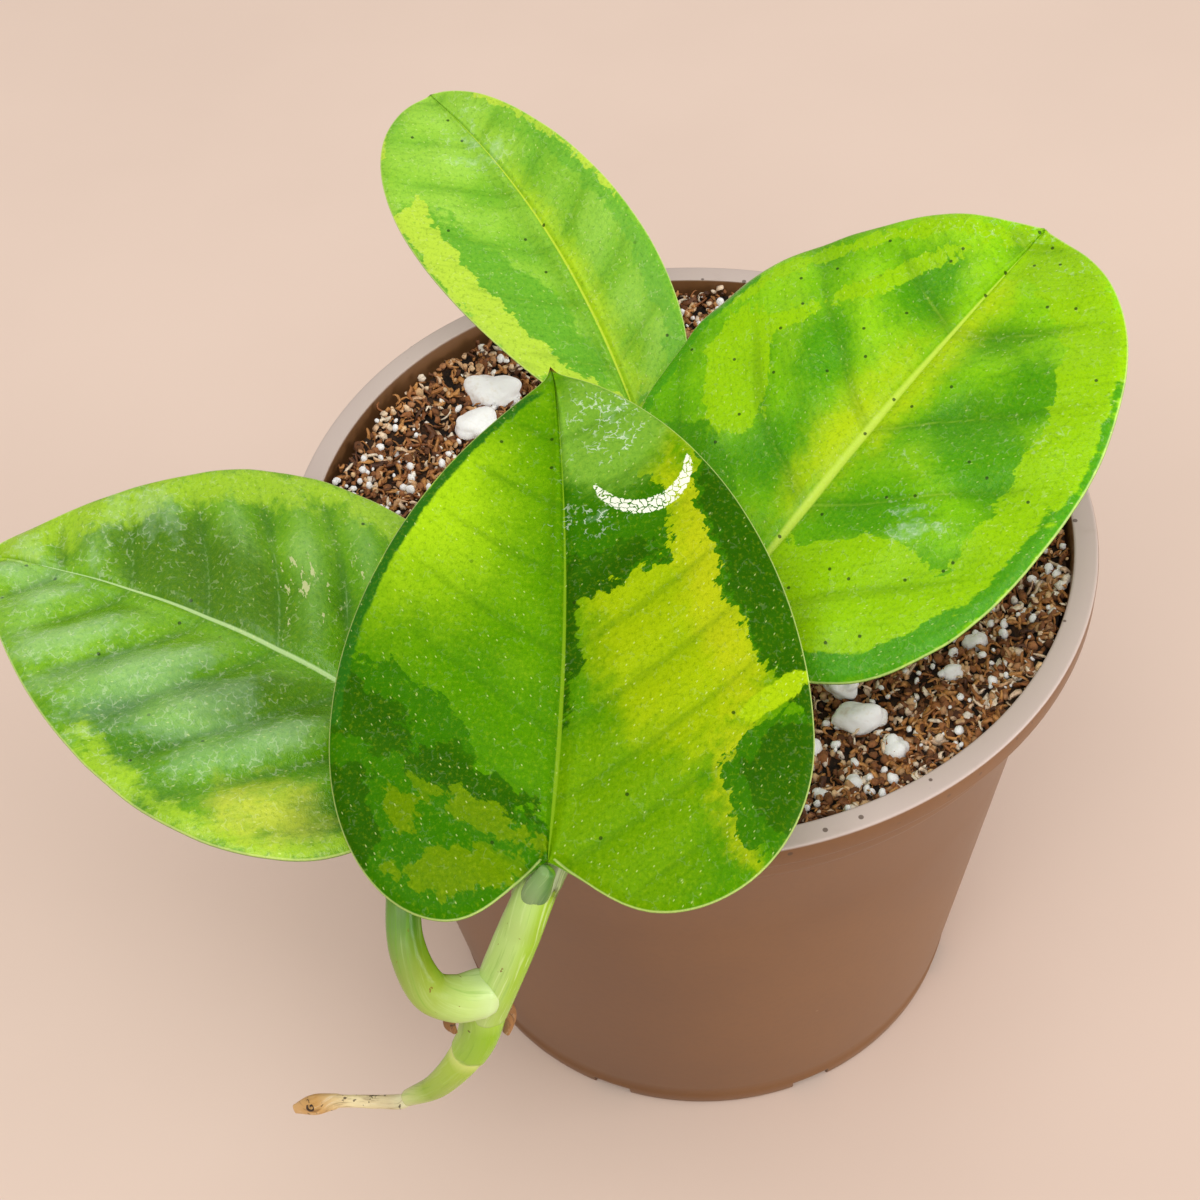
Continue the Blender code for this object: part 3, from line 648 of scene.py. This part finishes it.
def makeTube(name, tube, slot, material, *replaced):
    line = smoothRoute([(*point, radius) for point, radius in zip(tube["route"], tube["radii"])], stalk["spans"])
    centres, radii = line[:, :3], line[:, 3]
    way = np.gradient(centres, axis=0)
    way /= np.linalg.norm(way, axis=1)[:, None]
    walked = np.concatenate([[0], np.cumsum(np.linalg.norm(np.diff(centres, axis=0), axis=1))])
    across = np.cross(way[0], (0.3, 0.2, 1.0))
    angles = fullTurn(stalk["around"])
    rings, fields = [], []
    for centre, radius, direction, distance in zip(centres, radii, way, walked):
        across = across - direction * across.dot(direction)
        across /= np.linalg.norm(across)
        spoke = np.cos(angles)[:, None] * across + np.sin(angles)[:, None] * np.cross(direction, across)
        part = distance / walked[-1]
        swell = 1 + tube["depth"] * np.sin(tube["ridges"] * angles + 0.04 * distance)
        swell += 0.35 * tube["depth"] * softNoise(angles * 3, angles * 0 + distance, 1.7, len(name))
        for place, step in tube.get("seams", ()):  # a sheath's torn edge is a little uneven
            edge = place + 0.012 * np.sin(3 * angles + 1) + 0.008 * np.sin(7 * angles)
            swell = swell * (1 + step * np.clip((edge - part) * walked[-1] / 0.35, 0, 1))
        rings.append(centre + spoke * (radius * swell)[:, None])
        along = [angles * 0 + value for value in (distance, part)]
        fields.append(np.stack([angles * radius, *along, spoke @ stalk["lightWay"]], 1))
    start, end = [
        [centres[n] + (rings[n] - centres[n]) * shrink + way[n] * (sign * push * radii[n] * tube.get("dome", 0.3))
         for shrink, push in stalk["domeRings"]] for n, sign in ((0, -1), (-1, 1))]
    stack = np.array([*start[::-1], *rings, *end])
    fields = np.array([fields[0]] * len(start) + fields + [fields[-1]] * len(end)).reshape(-1, 4)
    at, quads = gridFaces(*stack.shape[:2], closed=True)
    mesh = meshFrom(name, stack.reshape(-1, 3), quads.tolist() + [at[0, ::-1].tolist(), at[-1].tolist()])
    for key, values in (("flow", fields[:, :3] * (1, 1, 0)), ("part", fields[:, 2]), ("paleSide", fields[:, 3])):
        storeField(mesh, key, values)
    setDown("grown_" + name, mesh, material, slot, *replaced)


def curlRoute(turns, widest, steps):
    # a small inward spiral lying on the dry knob's upper front
    knobX, knobY, knobZ = tubes["dry_tip"]["route"][4]
    route = []
    for part in np.arange(steps) / (steps - 1):
        angle, radius = 2.6 + part * turns * math.tau, widest * (1 - 0.75 * part)
        rise = 0.7 * radius * math.sin(angle)
        route.append((knobX - 0.4 + radius * math.cos(angle), knobY - 0.9 + rise, knobZ + 0.75 + rise))
    return tuple(route)


# pattern: its size across and along the skin in mm, detail, roughness
poreSize = 2.22
stemPatterns = {
    "strands": (0.625, 11.1, 4.0, 0.6), "scuffs": (1.11, 2.22, 4.0, 0.6), "edge": (1.25, 1.25, 4.0, 0.6),
    "wrinkles": (0.455, 4.55, 5.0, 0.65), "scars": (1.43, 1.43, 3.0, 0.6),
}


def stemGrain(tree, *patterns):
    read = {key: addNode(tree, "Attribute", attribute_name=key) for key in ("flow", "part")}
    for key in patterns:
        across, along, detail, roughness = stemPatterns[key]
        spread = addNode(tree, "Mapping", {"Vector": read["flow"], "Scale": (1 / across, 1 / along, 1)})
        read[key] = addNode(tree, "TexNoise", {
            "Vector": spread, "Scale": 1.0, "Detail": detail, "Roughness": roughness})
    return read


def livingStem(name, tube):
    # soft green stem skin: pale strands run lengthwise under a thin satin wax, with painted light on the side facing
    # the light and painted shade on the far side
    material, tree, *_ = newMaterial(name)
    grain, side = stemGrain(tree, "strands", "scuffs", "edge"), addNode(tree, "Attribute", attribute_name="paleSide")
    place = addNode(tree, "Math", {0: grain["edge"], 1: 0.03, 2: grain["part"]}, operation="MULTIPLY_ADD")
    place = addNode(tree, "Math", {0: place, 1: 0.015}, operation="SUBTRACT")
    lit = addNode(tree, "Math", {0: grain["strands"], 1: 0.9, 2: side}, operation="MULTIPLY_ADD")
    pore = addNode(tree, "TexVoronoi", {"Vector": grain["flow"], "Scale": 1 / poreSize})
    own = addNode(tree, "SeparateColor", {0: pore.outputs["Color"]})
    colour = paintLayers(tree, addNode(tree, "ValToRGB", {"Fac": place}, stops=tube["tones"]), (
        # painted light on the side facing the light, painted shade on the far side
        ("#dcf0b0", tube.get("pale", 0.2), (lit, 0.35, 1.3)), ("#76a814", 0.6, (lit, 0.45, -0.5)),
        ("#6a9c20", 0.35, (grain["strands"], 0.54, 0.68)),
        ("#e4f4b4", tube.get("pale", 0.2), (grain["strands"], 0.46, 0.34)),
        ("#7a4f1c", 0.8, (grain["scuffs"], 0.68, 0.71)), ("#5d4a16", 0.8, (pore, 0.12, 0.06), (own, 0.82, 0.84)),
    ))
    return finishMaterial(material, {
        "Base Color": colour, "Roughness": 0.25, "IOR": 1.43, "Specular IOR Level": 0.22, "Subsurface Weight": 0.1,
        "Subsurface Radius": (0.8, 1.0, 0.3), "Subsurface Scale": 1.0 * mm}, (grain["strands"], 0.3, 0.12))


def witheredSkin(name, tube):
    # dead stem and root skin: papery, wrinkled lengthwise, dull, with dark scars
    material, tree, *_ = newMaterial(name)
    grain = stemGrain(tree, "wrinkles", "scars")
    colour = paintLayers(tree, addNode(tree, "ValToRGB", {"Fac": grain["part"]}, stops=tube["tones"]), (
        ("#6b4420", 0.6, (grain["wrinkles"], 0.52, 0.7)), ("#fff2d6", 0.4, (grain["wrinkles"], 0.45, 0.3)),
        ("#2f1a0a", 0.85, (grain["scars"], 0.6, 0.64))))
    return finishMaterial(material, {"Base Color": colour, "Roughness": 0.55}, (grain["wrinkles"], 0.8, 0.3))


# bulge, bulgeTurn, bulgeSpread: how far the rim is out of round, which way, and how wide in degrees.
# sharpFrom: the angle from which an edge stays crisp. slotReach: how long a drain slot is across the foot's ring.
potForm = {
    "height": 88.0, "rimRadius": 55.0, "baseRadius": 40.0, "wall": 1.1, "floor": 2.0, "lipWidth": 2.7,
    "lipDepth": 3.5, "collarDepth": 8.8, "collarStep": 2.0, "slots": 8, "slotWidth": 6.0, "slotHeight": 2.4,
    "slotReach": 8.0, "around": 192, "footBand": 3.2, "bulge": 1.8, "bulgeTurn": 128, "bulgeSpread": 34,
    "sharpFrom": 38,
}


def potProfile():
    # radius and height of the turned outline, from the inside floor over the lip and down to the foot
    pot = potForm
    height, rim, base, wall, floor = [pot[key] for key in ("height", "rimRadius", "baseRadius", "wall", "floor")]
    inside, skirt, shoulder = rim - pot["lipWidth"] - 0.6, height - pot["lipDepth"], height - pot["collarDepth"]
    outer = lambda z: base + (rim - pot["lipWidth"] - pot["collarStep"] - base) / shoulder * z
    collar, neck, band = inside + wall, outer(shoulder), pot["footBand"]
    return [
        (0, floor), (outer(2) - wall - 1.2, floor), (outer(2) - wall - 0.5, floor + 0.2),
        (outer(3) - wall, floor + 1), (outer(20) - wall, 20), (outer(45) - wall, 45),
        (outer(shoulder - 4) - wall, shoulder - 4), (neck - wall, shoulder - 0.3), (neck - wall + 0.5, shoulder + 0.2),
        (inside - 0.8, shoulder + 0.7), (inside - 0.35, shoulder + 1.3), (inside - 0.1, height - 2),
        (inside, height - 0.4), (inside + 0.06, height - 0.14), (inside + 0.2, height - 0.02), (inside + 0.4, height),
        (rim - 0.55, height), (rim - 0.3, height - 0.04), (rim - 0.1, height - 0.16), (rim, height - 0.42),
        (rim, skirt + 0.6), (rim - 0.08, skirt + 0.25), (rim - 0.35, skirt), (rim - 0.8, skirt),
        (collar + 0.75, skirt), (collar + 0.4, skirt - 0.25), (collar + 0.25, skirt - 0.8),
        (collar + 0.05, shoulder + 1.0), (collar - 0.2, shoulder + 0.2), (collar - 0.6, shoulder - 0.25),
        (neck + 0.3, shoulder - 0.6), (neck + 0.02, shoulder - 1.2), (outer(60), 60), (outer(40), 40), (outer(20), 20),
        (outer(6), 6), (outer(band), band + 0.3), (outer(band) + 0.16, band), (outer(1) + 0.15, 1.0),
        (base - 0.05, 0.35), (base - 0.4, 0.05), (base - 0.9, 0), (base - 3.0, 0), (0, 0),
    ]


def makePot(material):
    # turned shell, a little out of round at the rim, with drain slots cut in its foot
    pot, profile = potForm, np.array(potProfile())
    radii, levels = profile[1:-1, :1], profile[1:-1, 1:]
    angles = fullTurn(pot["around"])
    offset = (np.degrees(angles) - pot["bulgeTurn"] + 180) % 360 - 180
    bulge = pot["bulge"] * np.exp(-(offset / pot["bulgeSpread"]) ** 2)
    stack = ringPoints(angles, radii + bulge * (levels / pot["height"]) ** 3, levels)
    points = np.vstack([stack.reshape(-1, 3), [[0, 0, profile[0, 1]], [0, 0, profile[-1, 1]]]])
    at, quads = gridFaces(*stack.shape[:2], closed=True)
    beside = np.roll(at, -1, axis=1)
    faces = quads[:, (0, 3, 2, 1)].tolist()
    faces += [(at[0, n], beside[0, n], at.size) for n in range(len(angles))]
    faces += [(at[-1, n], at.size + 1, beside[-1, n]) for n in range(len(angles))]
    mesh = meshFrom("pot_shell", points, faces)
    work = bmesh.new()
    work.from_mesh(mesh)
    bmesh.ops.recalc_face_normals(work, faces=work.faces)
    work.to_mesh(mesh)
    work.free()
    shell = addObject("pot_shell", mesh)
    cutters = bpy.data.collections.new("drain_cutters")
    bpy.context.scene.collection.children.link(cutters)
    for number in range(pot["slots"]):
        angle = (number + 0.5) * math.tau / pot["slots"]
        work = bmesh.new()
        bmesh.ops.create_cube(work, size=1)
        shape = (Matrix.Translation(Vector((math.cos(angle), math.sin(angle), 0)) * (pot["baseRadius"] - 1.5) * mm)
                 @ Matrix.Rotation(angle, 4, "Z")
                 @ Matrix.Diagonal((pot["slotReach"] * mm, pot["slotWidth"] * mm, 2 * pot["slotHeight"] * mm, 1)))
        bmesh.ops.transform(work, matrix=shape, verts=work.verts)
        addObject("drain_slot", meshOf(work, "drain_slot"), cutters)
    boolean = shell.modifiers.new("Drain slots", "BOOLEAN")
    boolean.operand_type, boolean.collection, boolean.solver = "COLLECTION", cutters, "EXACT"
    cut = shapedMesh(shell, cutters)
    cut.set_sharp_from_angle(angle=math.radians(pot["sharpFrom"]))
    setDown("nursery_pot", cut, material, "pot_plastic", "pot")


def mouldedPlastic():
    # moulded polypropylene: smooth and satin, warm taupe, with a few pale scuffs and dust specks, and a painted sheen
    # on the lip's top
    material, tree, place, grain = newMaterial(
        "mouldedPolypropylene", cloud=(38, 4.0, 0.5), skin=(1.1, 4.0, 0.5), wear=(6, 4.0, 0.5))
    cell, own = {}, {}
    for key, size in (("speck", 5.5), ("lipMark", 2.2)):
        cell[key] = addNode(tree, "TexVoronoi", {"Vector": place, "Scale": 1 / (size * mm)})
        own[key] = addNode(tree, "SeparateColor", {0: cell[key].outputs["Color"]})
    level = addNode(tree, "SeparateXYZ", {0: place}).outputs[2]
    facing = addNode(tree, "NewGeometry").outputs["Normal"]
    upward = addNode(tree, "SeparateXYZ", {0: facing}).outputs[2]
    onLip = (level, (potForm["height"] - 2.5) * mm, (potForm["height"] - 1) * mm)
    colour = paintLayers(tree, tint("#714b2b"), (
        ("#7c5533", 1.0, (grain["cloud"], 0.3, 0.7)), ("#5a4130", 0.1, (grain["skin"], 0.4, 0.7)),
        ("#cdb9a6", 0.5, (cell["speck"], 0.07, 0.03), (own["speck"], 0.84, 0.85)),
        ("#4a3122", 0.6, (cell["speck"], 0.08, 0.04), (own["speck"], 0.07, 0.06)),
        # painted sheen: the lip's upward-facing top is painted a paler, greyer bloom where it reflects the light above,
        # broken up by noise
        ("#c8b8b0", 0.93, onLip, (upward, 0.3, 0.85), (grain["wear"], -0.3, 0.4)),
        ("#4a3424", 0.8, onLip, (cell["lipMark"], 0.17, 0.13), (own["lipMark"], 0.62, 0.64)),
    ))
    satin = addNode(tree, "MapRange", {
        "Value": grain["cloud"], "From Min": 0.3, "From Max": 0.7, "To Min": 0.36, "To Max": 0.44})
    return finishMaterial(material, {
        "Base Color": colour, "Roughness": satin, "IOR": 1.49}, (grain["skin"], 0.12, 0.05))


# dome: how far its middle stands up. banked: how far it climbs at the wall.
# under: radius and height of the rings that close it below.
soilForm = {
    "top": 81.5, "dome": 0.8, "banked": 4.8, "radius": 51.0, "rings": 90, "around": 180,
    "under": ((51.0, 80.4), (47.8, 79.0), (38.5, 2.4)), "patchSteps": 100,
}


def soilHeight(x, y):
    spread = np.hypot(x, y) / soilForm["radius"]
    rough = 0.9 * softNoise(x, y, 9, 31) + 0.55 * softNoise(x, y, 3.2, 32) + 0.3 * softNoise(x, y, 1.3, 33)
    return soilForm["top"] + soilForm["dome"] * (1 - spread ** 2) - 0.6 + rough * 0.7 + soilForm["banked"] * spread ** 8


def makeSoilBed(material):
    form, angles = soilForm, fullTurn(soilForm["around"])
    radii = form["radius"] * (np.arange(form["rings"] + 1) + 0.02) / (form["rings"] + 0.02)
    top = ringPoints(angles, radii[:, None], 0.0)
    top[..., 2] = soilHeight(top[..., 0], top[..., 1])
    under = np.array(form["under"])
    stack = np.vstack([top, ringPoints(angles, under[:, :1], under[:, 1:])])
    at, quads = gridFaces(*stack.shape[:2], closed=True)
    faces = quads[:, (0, 3, 2, 1)].tolist() + [at[0].tolist(), at[-1, ::-1].tolist()]
    setDown("soil_bed", meshFrom("soil_bed", stack.reshape(-1, 3), faces), material, "potting_soil", "potting_soil")


def groundPatch():
    # the open surface that the scatters grow on
    reach, count = soilForm["radius"], soilForm["patchSteps"]
    steps = np.linspace(-reach, reach, count)
    x, y = [side.ravel() for side in np.meshgrid(steps, steps)]
    points = np.stack([x, y, soilHeight(x, y)], 1)
    _, quads = gridFaces(count, count)
    middle = points[quads].mean(1)
    quads = quads[np.hypot(middle[:, 0], middle[:, 1]) < reach + 0.1]
    return addObject("ground_patch", meshFrom("ground_patch", points, quads.tolist()))


fibreForm = {
    "kinds": 10, "length": (1.4, 4.2), "radius": (0.3, 0.72), "bend": (0.3, 3.8), "twist": (-1.2, 1.2), "kink": 0.5,
    "rise": 0.35, "seed": 41,
}


def fibreKinds():
    # curled coir strands, a few dozen faces each
    kinds, dice = [], np.random.default_rng(fibreForm["seed"])
    faces = gridFaces(7, 3, closed=True)[1].tolist() + [(2, 1, 0), (18, 19, 20)]
    for number in range(fibreForm["kinds"]):
        length, radius, bend, twist = [dice.uniform(*fibreForm[key]) for key in ("length", "radius", "bend", "twist")]
        centre, heading, rings = np.zeros(3), 0.0, []
        for step in range(7):
            part = step / 6
            side = np.array([-math.sin(heading), math.cos(heading), 0])
            size = radius * (1 - 0.7 * abs(2 * part - 1) ** 3)
            for corner in range(3):
                angle = corner * math.tau / 3 + twist * part * 3
                rings.append(centre + size * (math.cos(angle) * side + math.sin(angle) * np.array([0, 0, 1])))
            heading += bend / 6 + dice.uniform(-fibreForm["kink"], fibreForm["kink"])
            rise = fibreForm["rise"] * math.sin(3 * part + twist)
            centre = centre + length / 6 * np.array([math.cos(heading), math.sin(heading), rise])
        points = np.array(rings)
        kinds.append(meshFrom("fibre_%d" % number, points - points.mean(0), faces))
    return kinds


def crumbKinds(seed, count, subdivisions, flatness, rough):
    # broken crumbs: a ball pushed in and out, then flattened
    kinds, dice = [], np.random.default_rng(seed)
    for number in range(count):
        work = bmesh.new()
        bmesh.ops.create_icosphere(work, subdivisions=subdivisions, radius=0.5 * mm)
        for vertex in work.verts:
            vertex.co *= 1 + dice.uniform(-rough, rough)
        squeeze = Matrix.Diagonal((1, dice.uniform(0.55, 0.95), dice.uniform(*flatness), 1))
        bmesh.ops.transform(work, matrix=squeeze, verts=work.verts)
        kinds.append(meshOf(work, "crumb_%d" % number))
    return kinds


def scatterTree():
    tree = bpy.data.node_groups.new("strewOnSoil", "GeometryNodeTree")
    for name, kind in (("Ground", "Geometry"), ("Kinds", "Collection"), ("Per square metre", "Float"),
                       ("Smallest", "Float"), ("Largest", "Float"), ("Tilt", "Float"), ("Lift", "Float"),
                       ("Seed", "Int"), ("Material", "Material")):
        tree.interface.new_socket(name, in_out="INPUT", socket_type="NodeSocket" + kind)
    tree.interface.new_socket("Strewn", in_out="OUTPUT", socket_type="NodeSocketGeometry")
    given = addNode(tree, "NodeGroupInput").outputs
    points = addNode(tree, "GeometryNodeDistributePointsOnFaces", {
        "Mesh": given["Ground"], "Density": given["Per square metre"], "Seed": given["Seed"]})
    kinds = addNode(tree, "GeometryNodeCollectionInfo", {
        "Collection": given["Kinds"], "Separate Children": True, "Reset Children": True})
    backward = addNode(tree, "Math", {0: given["Tilt"], 1: -1.0}, operation="MULTIPLY")
    least = addNode(tree, "CombineXYZ", {0: backward, 1: backward, 2: 0.0})
    most = addNode(tree, "CombineXYZ", {0: given["Tilt"], 1: given["Tilt"], 2: math.tau})
    turn = addNode(tree, "FunctionNodeRandomValue", {
        0: least, 1: most, "Seed": given["Seed"]}, data_type="FLOAT_VECTOR")
    size = addNode(tree, "FunctionNodeRandomValue", {
        2: given["Smallest"], 3: given["Largest"], "Seed": given["Seed"]}, data_type="FLOAT")
    placed = addNode(tree, "GeometryNodeInstanceOnPoints", {
        "Points": points, "Instance": kinds, "Pick Instance": True, "Rotation": turn, "Scale": size.outputs[1]})
    rise = addNode(tree, "CombineXYZ", {2: given["Lift"]})
    lifted = addNode(tree, "GeometryNodeTranslateInstances", {
        "Instances": placed, "Translation": rise, "Local Space": False})
    shade = addNode(tree, "FunctionNodeRandomValue", {2: 0.0, 3: 1.0, "Seed": 77}, data_type="FLOAT")
    marked = addNode(tree, "GeometryNodeStoreNamedAttribute", {
        "Geometry": lifted, "Name": "shade", "Value": shade.outputs[1]}, data_type="FLOAT", domain="INSTANCE")
    whole = addNode(tree, "GeometryNodeRealizeInstances", {"Geometry": marked})
    dressed = addNode(tree, "GeometryNodeSetMaterial", {"Geometry": whole, "Material": given["Material"]})
    addNode(tree, "NodeGroupOutput", {"Strewn": dressed})
    return tree


# smallest and largest: how a kind is scaled. tilt: how far it leans, in radians. lift: how far it stands up, in mm.
strewn = {
    "coir_fibres": dict(count=4700, smallest=0.4, largest=0.95, tilt=0.8, lift=0.3, seed=4, slot="potting_soil"),
    "coir_tangle": dict(count=4700, smallest=0.35, largest=0.85, tilt=1.3, lift=0.8, seed=23, slot="potting_soil"),
    "bark_crumbs": dict(count=5200, smallest=0.4, largest=2.0, tilt=3.1, lift=0.5, seed=9, slot="potting_soil"),
    "perlite_fines": dict(count=900, smallest=0.4, largest=1.7, tilt=3.1, lift=1.0, seed=12, slot="perlite"),
}


def strew(name, tree, ground, kinds, material):
    spec, shelf = strewn[name], bpy.data.collections.new(name + "_kinds")
    for kind in kinds:
        addObject(kind.name, kind.copy(), shelf)
    holder = addObject(name, ground.data.copy())
    modifier = holder.modifiers.new("Strewn", "NODES")
    modifier.node_group = tree
    area = math.pi * (soilForm["radius"] * mm) ** 2
    values = {"Kinds": shelf, "Per square metre": spec["count"] / area, "Smallest": spec["smallest"],
              "Largest": spec["largest"], "Tilt": spec["tilt"], "Lift": spec["lift"] * mm,
              "Seed": spec["seed"], "Material": material}
    for socket in tree.interface.items_tree:
        if socket.name in values:
            modifier[socket.identifier] = values[socket.name]
    setDown(name, shapedMesh(holder, shelf), None, spec["slot"])


def dampCompost():
    # damp compost under the strands: near black brown, its own dark colour and also painted shade for the gaps between
    # the strands, dull and crumbly
    material, tree, _, grain = newMaterial("dampCompost", clump=(2.4, 6.0, 0.7))
    colour = paintLayers(tree, tint("#150b05"), (("#4c3019", 1.0, (grain["clump"], 0.4, 0.7)),))
    return finishMaterial(material, {"Base Color": colour, "Roughness": 0.95}, (grain["clump"], 0.9, 0.8))


def plantFibre(name, browns, roughness):
    # dry coir and bark: each strand its own brown, dull, with fine grit along it
    material, tree, _, grain = newMaterial(name, grit=(0.7, 4.0, 0.65))
    ramp = addNode(tree, "ValToRGB", {"Fac": addNode(tree, "Attribute", attribute_name="shade")}, stops=browns)
    colour = paintLayers(tree, ramp, (("#1f1108", 0.45, (grain["grit"], 0.6, 0.3)),))
    return finishMaterial(material, {"Base Color": colour, "Roughness": roughness}, (grain["grit"], 0.7, 0.2))


def expandedPerlite():
    # expanded volcanic glass: chalk white foam, matt, with brown dust held in its pits
    material, tree, _, grain = newMaterial("expandedPerlite", foam=(1.1, 5.0, 0.65), dust=(3.3, 4.0, 0.6))
    hollow = addNode(tree, "Attribute", attribute_name="hollow")
    dusty = addNode(tree, "Math", {0: hollow, 1: 0.2, 2: grain["dust"]}, operation="MULTIPLY_ADD")
    colour = paintLayers(tree, tint("#f1ece3"), (
        ("#ffffff", 1.0, (grain["foam"], 0.2, 0.5)), ("#b79468", 0.45, (dusty, 0.64, 0.82))))
    return finishMaterial(material, {
        "Base Color": colour, "Roughness": 0.8, "Subsurface Weight": 0.5, "Subsurface Radius": (1.0, 1.0, 0.95),
        "Subsurface Scale": 1.2 * mm}, (grain["foam"], 0.35, 0.3))


# knobs: the height and size of the bumps on a granule's lobes, and what its number is raised by to seed them.
# large: the width in mm from which a granule gets finer faces.
granuleForm = {
    "lobes": 6, "core": 0.74, "lobeRise": 0.3, "lobeSpread": 0.16, "flatness": 0.7, "seed": 200, "large": 5,
    "knobs": ((0.07, 0.6, 0), (0.022, 0.25, 50), (0.008, 0.1, 90)),
}


def makeGranule(number, node, material):
    # a knobbly stone of a few swollen lobes that fills its solid's box
    granule = granuleForm
    low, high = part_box(node)
    middle, size = np.array((low + high) / 2) / mm, np.array(high - low) / mm
    dice = np.random.default_rng(granule["seed"] + number)
    work = bmesh.new()
    bmesh.ops.create_icosphere(work, subdivisions=5 if size.max() > granule["large"] else 4, radius=1)
    points = np.array([vertex.co for vertex in work.verts])
    lobes = dice.normal(0, 1, (granule["lobes"], 3)) * (1, 1, granule["flatness"])
    lobes /= np.linalg.norm(lobes, axis=1)[:, None]
    form = granule["core"] + granule["lobeRise"] * np.exp(-(1 - points @ lobes.T) / granule["lobeSpread"]).max(1)
    x, y, z = points.T
    for (height, reach, seed), (u, v) in zip(granule["knobs"], ((x + z, y), (y, z - x), (z, x + y))):
        form += height * softNoise(u, v, reach, number + seed)
    points = points * form[:, None]
    spread = points.max(0) - points.min(0)
    points = (points - (points.max(0) + points.min(0)) / 2) / spread * size + middle
    for vertex, point in zip(work.verts, points):
        vertex.co = Vector(point) * mm
    mesh = meshOf(work, node)
    storeField(mesh, "hollow", np.clip((0.9 - form) / 0.3, 0, 1))
    setDown("granule_%02d" % number, mesh, material, "perlite", node)


def makeStudio():
    scene = bpy.context.scene
    scene.view_settings.view_transform = "Standard"
    camera = addObject("camera", bpy.data.cameras.new("camera"))
    camera.data.lens, camera.data.sensor_width, camera.data.clip_start = studio["lens"], studio["sensor"], 0.01
    place, aim = Vector(studio["cameraPlace"]) * mm, Vector(studio["aimPoint"]) * mm
    look = (aim - place).to_track_quat("-Z", "Y").to_matrix().to_4x4()
    camera.matrix_world = Matrix.Translation(place) @ look @ Matrix.Rotation(math.radians(-studio["roll"]), 4, "Z")
    scene.camera = camera
    for name, (where, towards, width, height, watts) in studio["lights"].items():
        lamp = bpy.data.lights.new(name, "AREA")
        lamp.shape = "RECTANGLE"
        lamp.size, lamp.size_y, lamp.energy = width * mm, height * mm, watts
        item = addObject(name, lamp)
        item.location = Vector(where) * mm
        item.rotation_euler = (Vector(towards) * mm - item.location).to_track_quat("-Z", "Y").to_euler()
    scene.world = bpy.data.worlds.new("studioSky")
    scene.world.use_nodes = True
    sky = scene.world.node_tree.nodes["Background"].inputs
    sky["Color"].default_value, sky["Strength"].default_value = tint(studio["skyColour"]), studio["skyStrength"]
    # a matt seamless paper sweep, a little cloudy
    material, tree, _, grain = newMaterial("paperSweep", cloud=(studio["cloudSize"], 4.0, 0.5))
    colour = paintLayers(tree, tint(studio["floorColour"]), ((studio["floorCloud"], 1.0, (grain["cloud"], 0.3, 0.7)),))
    finishMaterial(material, {"Base Color": colour, "Roughness": 0.9})
    reach = studio["floorReach"]
    corners = [(-reach, -reach, 0), (reach, -reach, 0), (reach, reach, 0), (-reach, reach, 0)]
    mesh = meshFrom("studio_floor", corners, [(0, 1, 2, 3)])
    mesh.materials.append(material)
    floor = addObject("studio_floor", mesh)
    print("studio ready")


makeStudio()
for leafName, leafSpec in leaves.items():
    makeBlade(leafName, leafSpec, waxyLeaf("waxyLeaf_" + leafName, leafSpec))
for tubeName, tubeSpec in tubes.items():
    slotName = "dry_stem" if tubeName == "dry_tip" else "aerial_root" if "root" in tubeName else "green_stem"
    skin = (livingStem if slotName == "green_stem" else witheredSkin)("skin_" + tubeName, tubeSpec)
    makeTube(tubeName, tubeSpec, slotName, skin, tubeName)
curl = dict(route=curlRoute(1.0, 0.6, 9), radii=(0.08,) + (0.13,) * 7 + (0.06,), ridges=3, depth=0.1,
            tones=((0.0, "#3a2410"), (1.0, "#2a180a")))
makeTube("dry_curl", curl, "dry_stem", witheredSkin("skin_dry_curl", curl))
makePot(mouldedPlastic())
makeSoilBed(dampCompost())
ground, strewTree, perliteWhite = groundPatch(), scatterTree(), expandedPerlite()
coirBrowns = ((0.0, "#4a2812"), (0.3, "#9c5e2e"), (0.74, "#d49652"), (1.0, "#fff0d8"))
crumbBrowns = ((0.0, "#4e2a12"), (0.5, "#a46a3e"), (0.8, "#eec694"), (1.0, "#fffaf0"))
strands, coir = fibreKinds(), plantFibre("coirStrand", coirBrowns, 0.6)
for strandName in ("coir_fibres", "coir_tangle"):
    strew(strandName, strewTree, ground, strands, coir)
bark = plantFibre("barkCrumb", crumbBrowns, 0.9)
strew("bark_crumbs", strewTree, ground, crumbKinds(51, 7, 1, (0.4, 0.9), 0.28), bark)
strew("perlite_fines", strewTree, ground, crumbKinds(61, 5, 2, (0.7, 0.95), 0.12), perliteWhite)
bpy.data.objects.remove(ground)
granuleNodes = sorted(name for name in frame["nodes"] if name.startswith("perlite_"))
for number, node in enumerate(granuleNodes, start=1):
    makeGranule(number, node, perliteWhite)
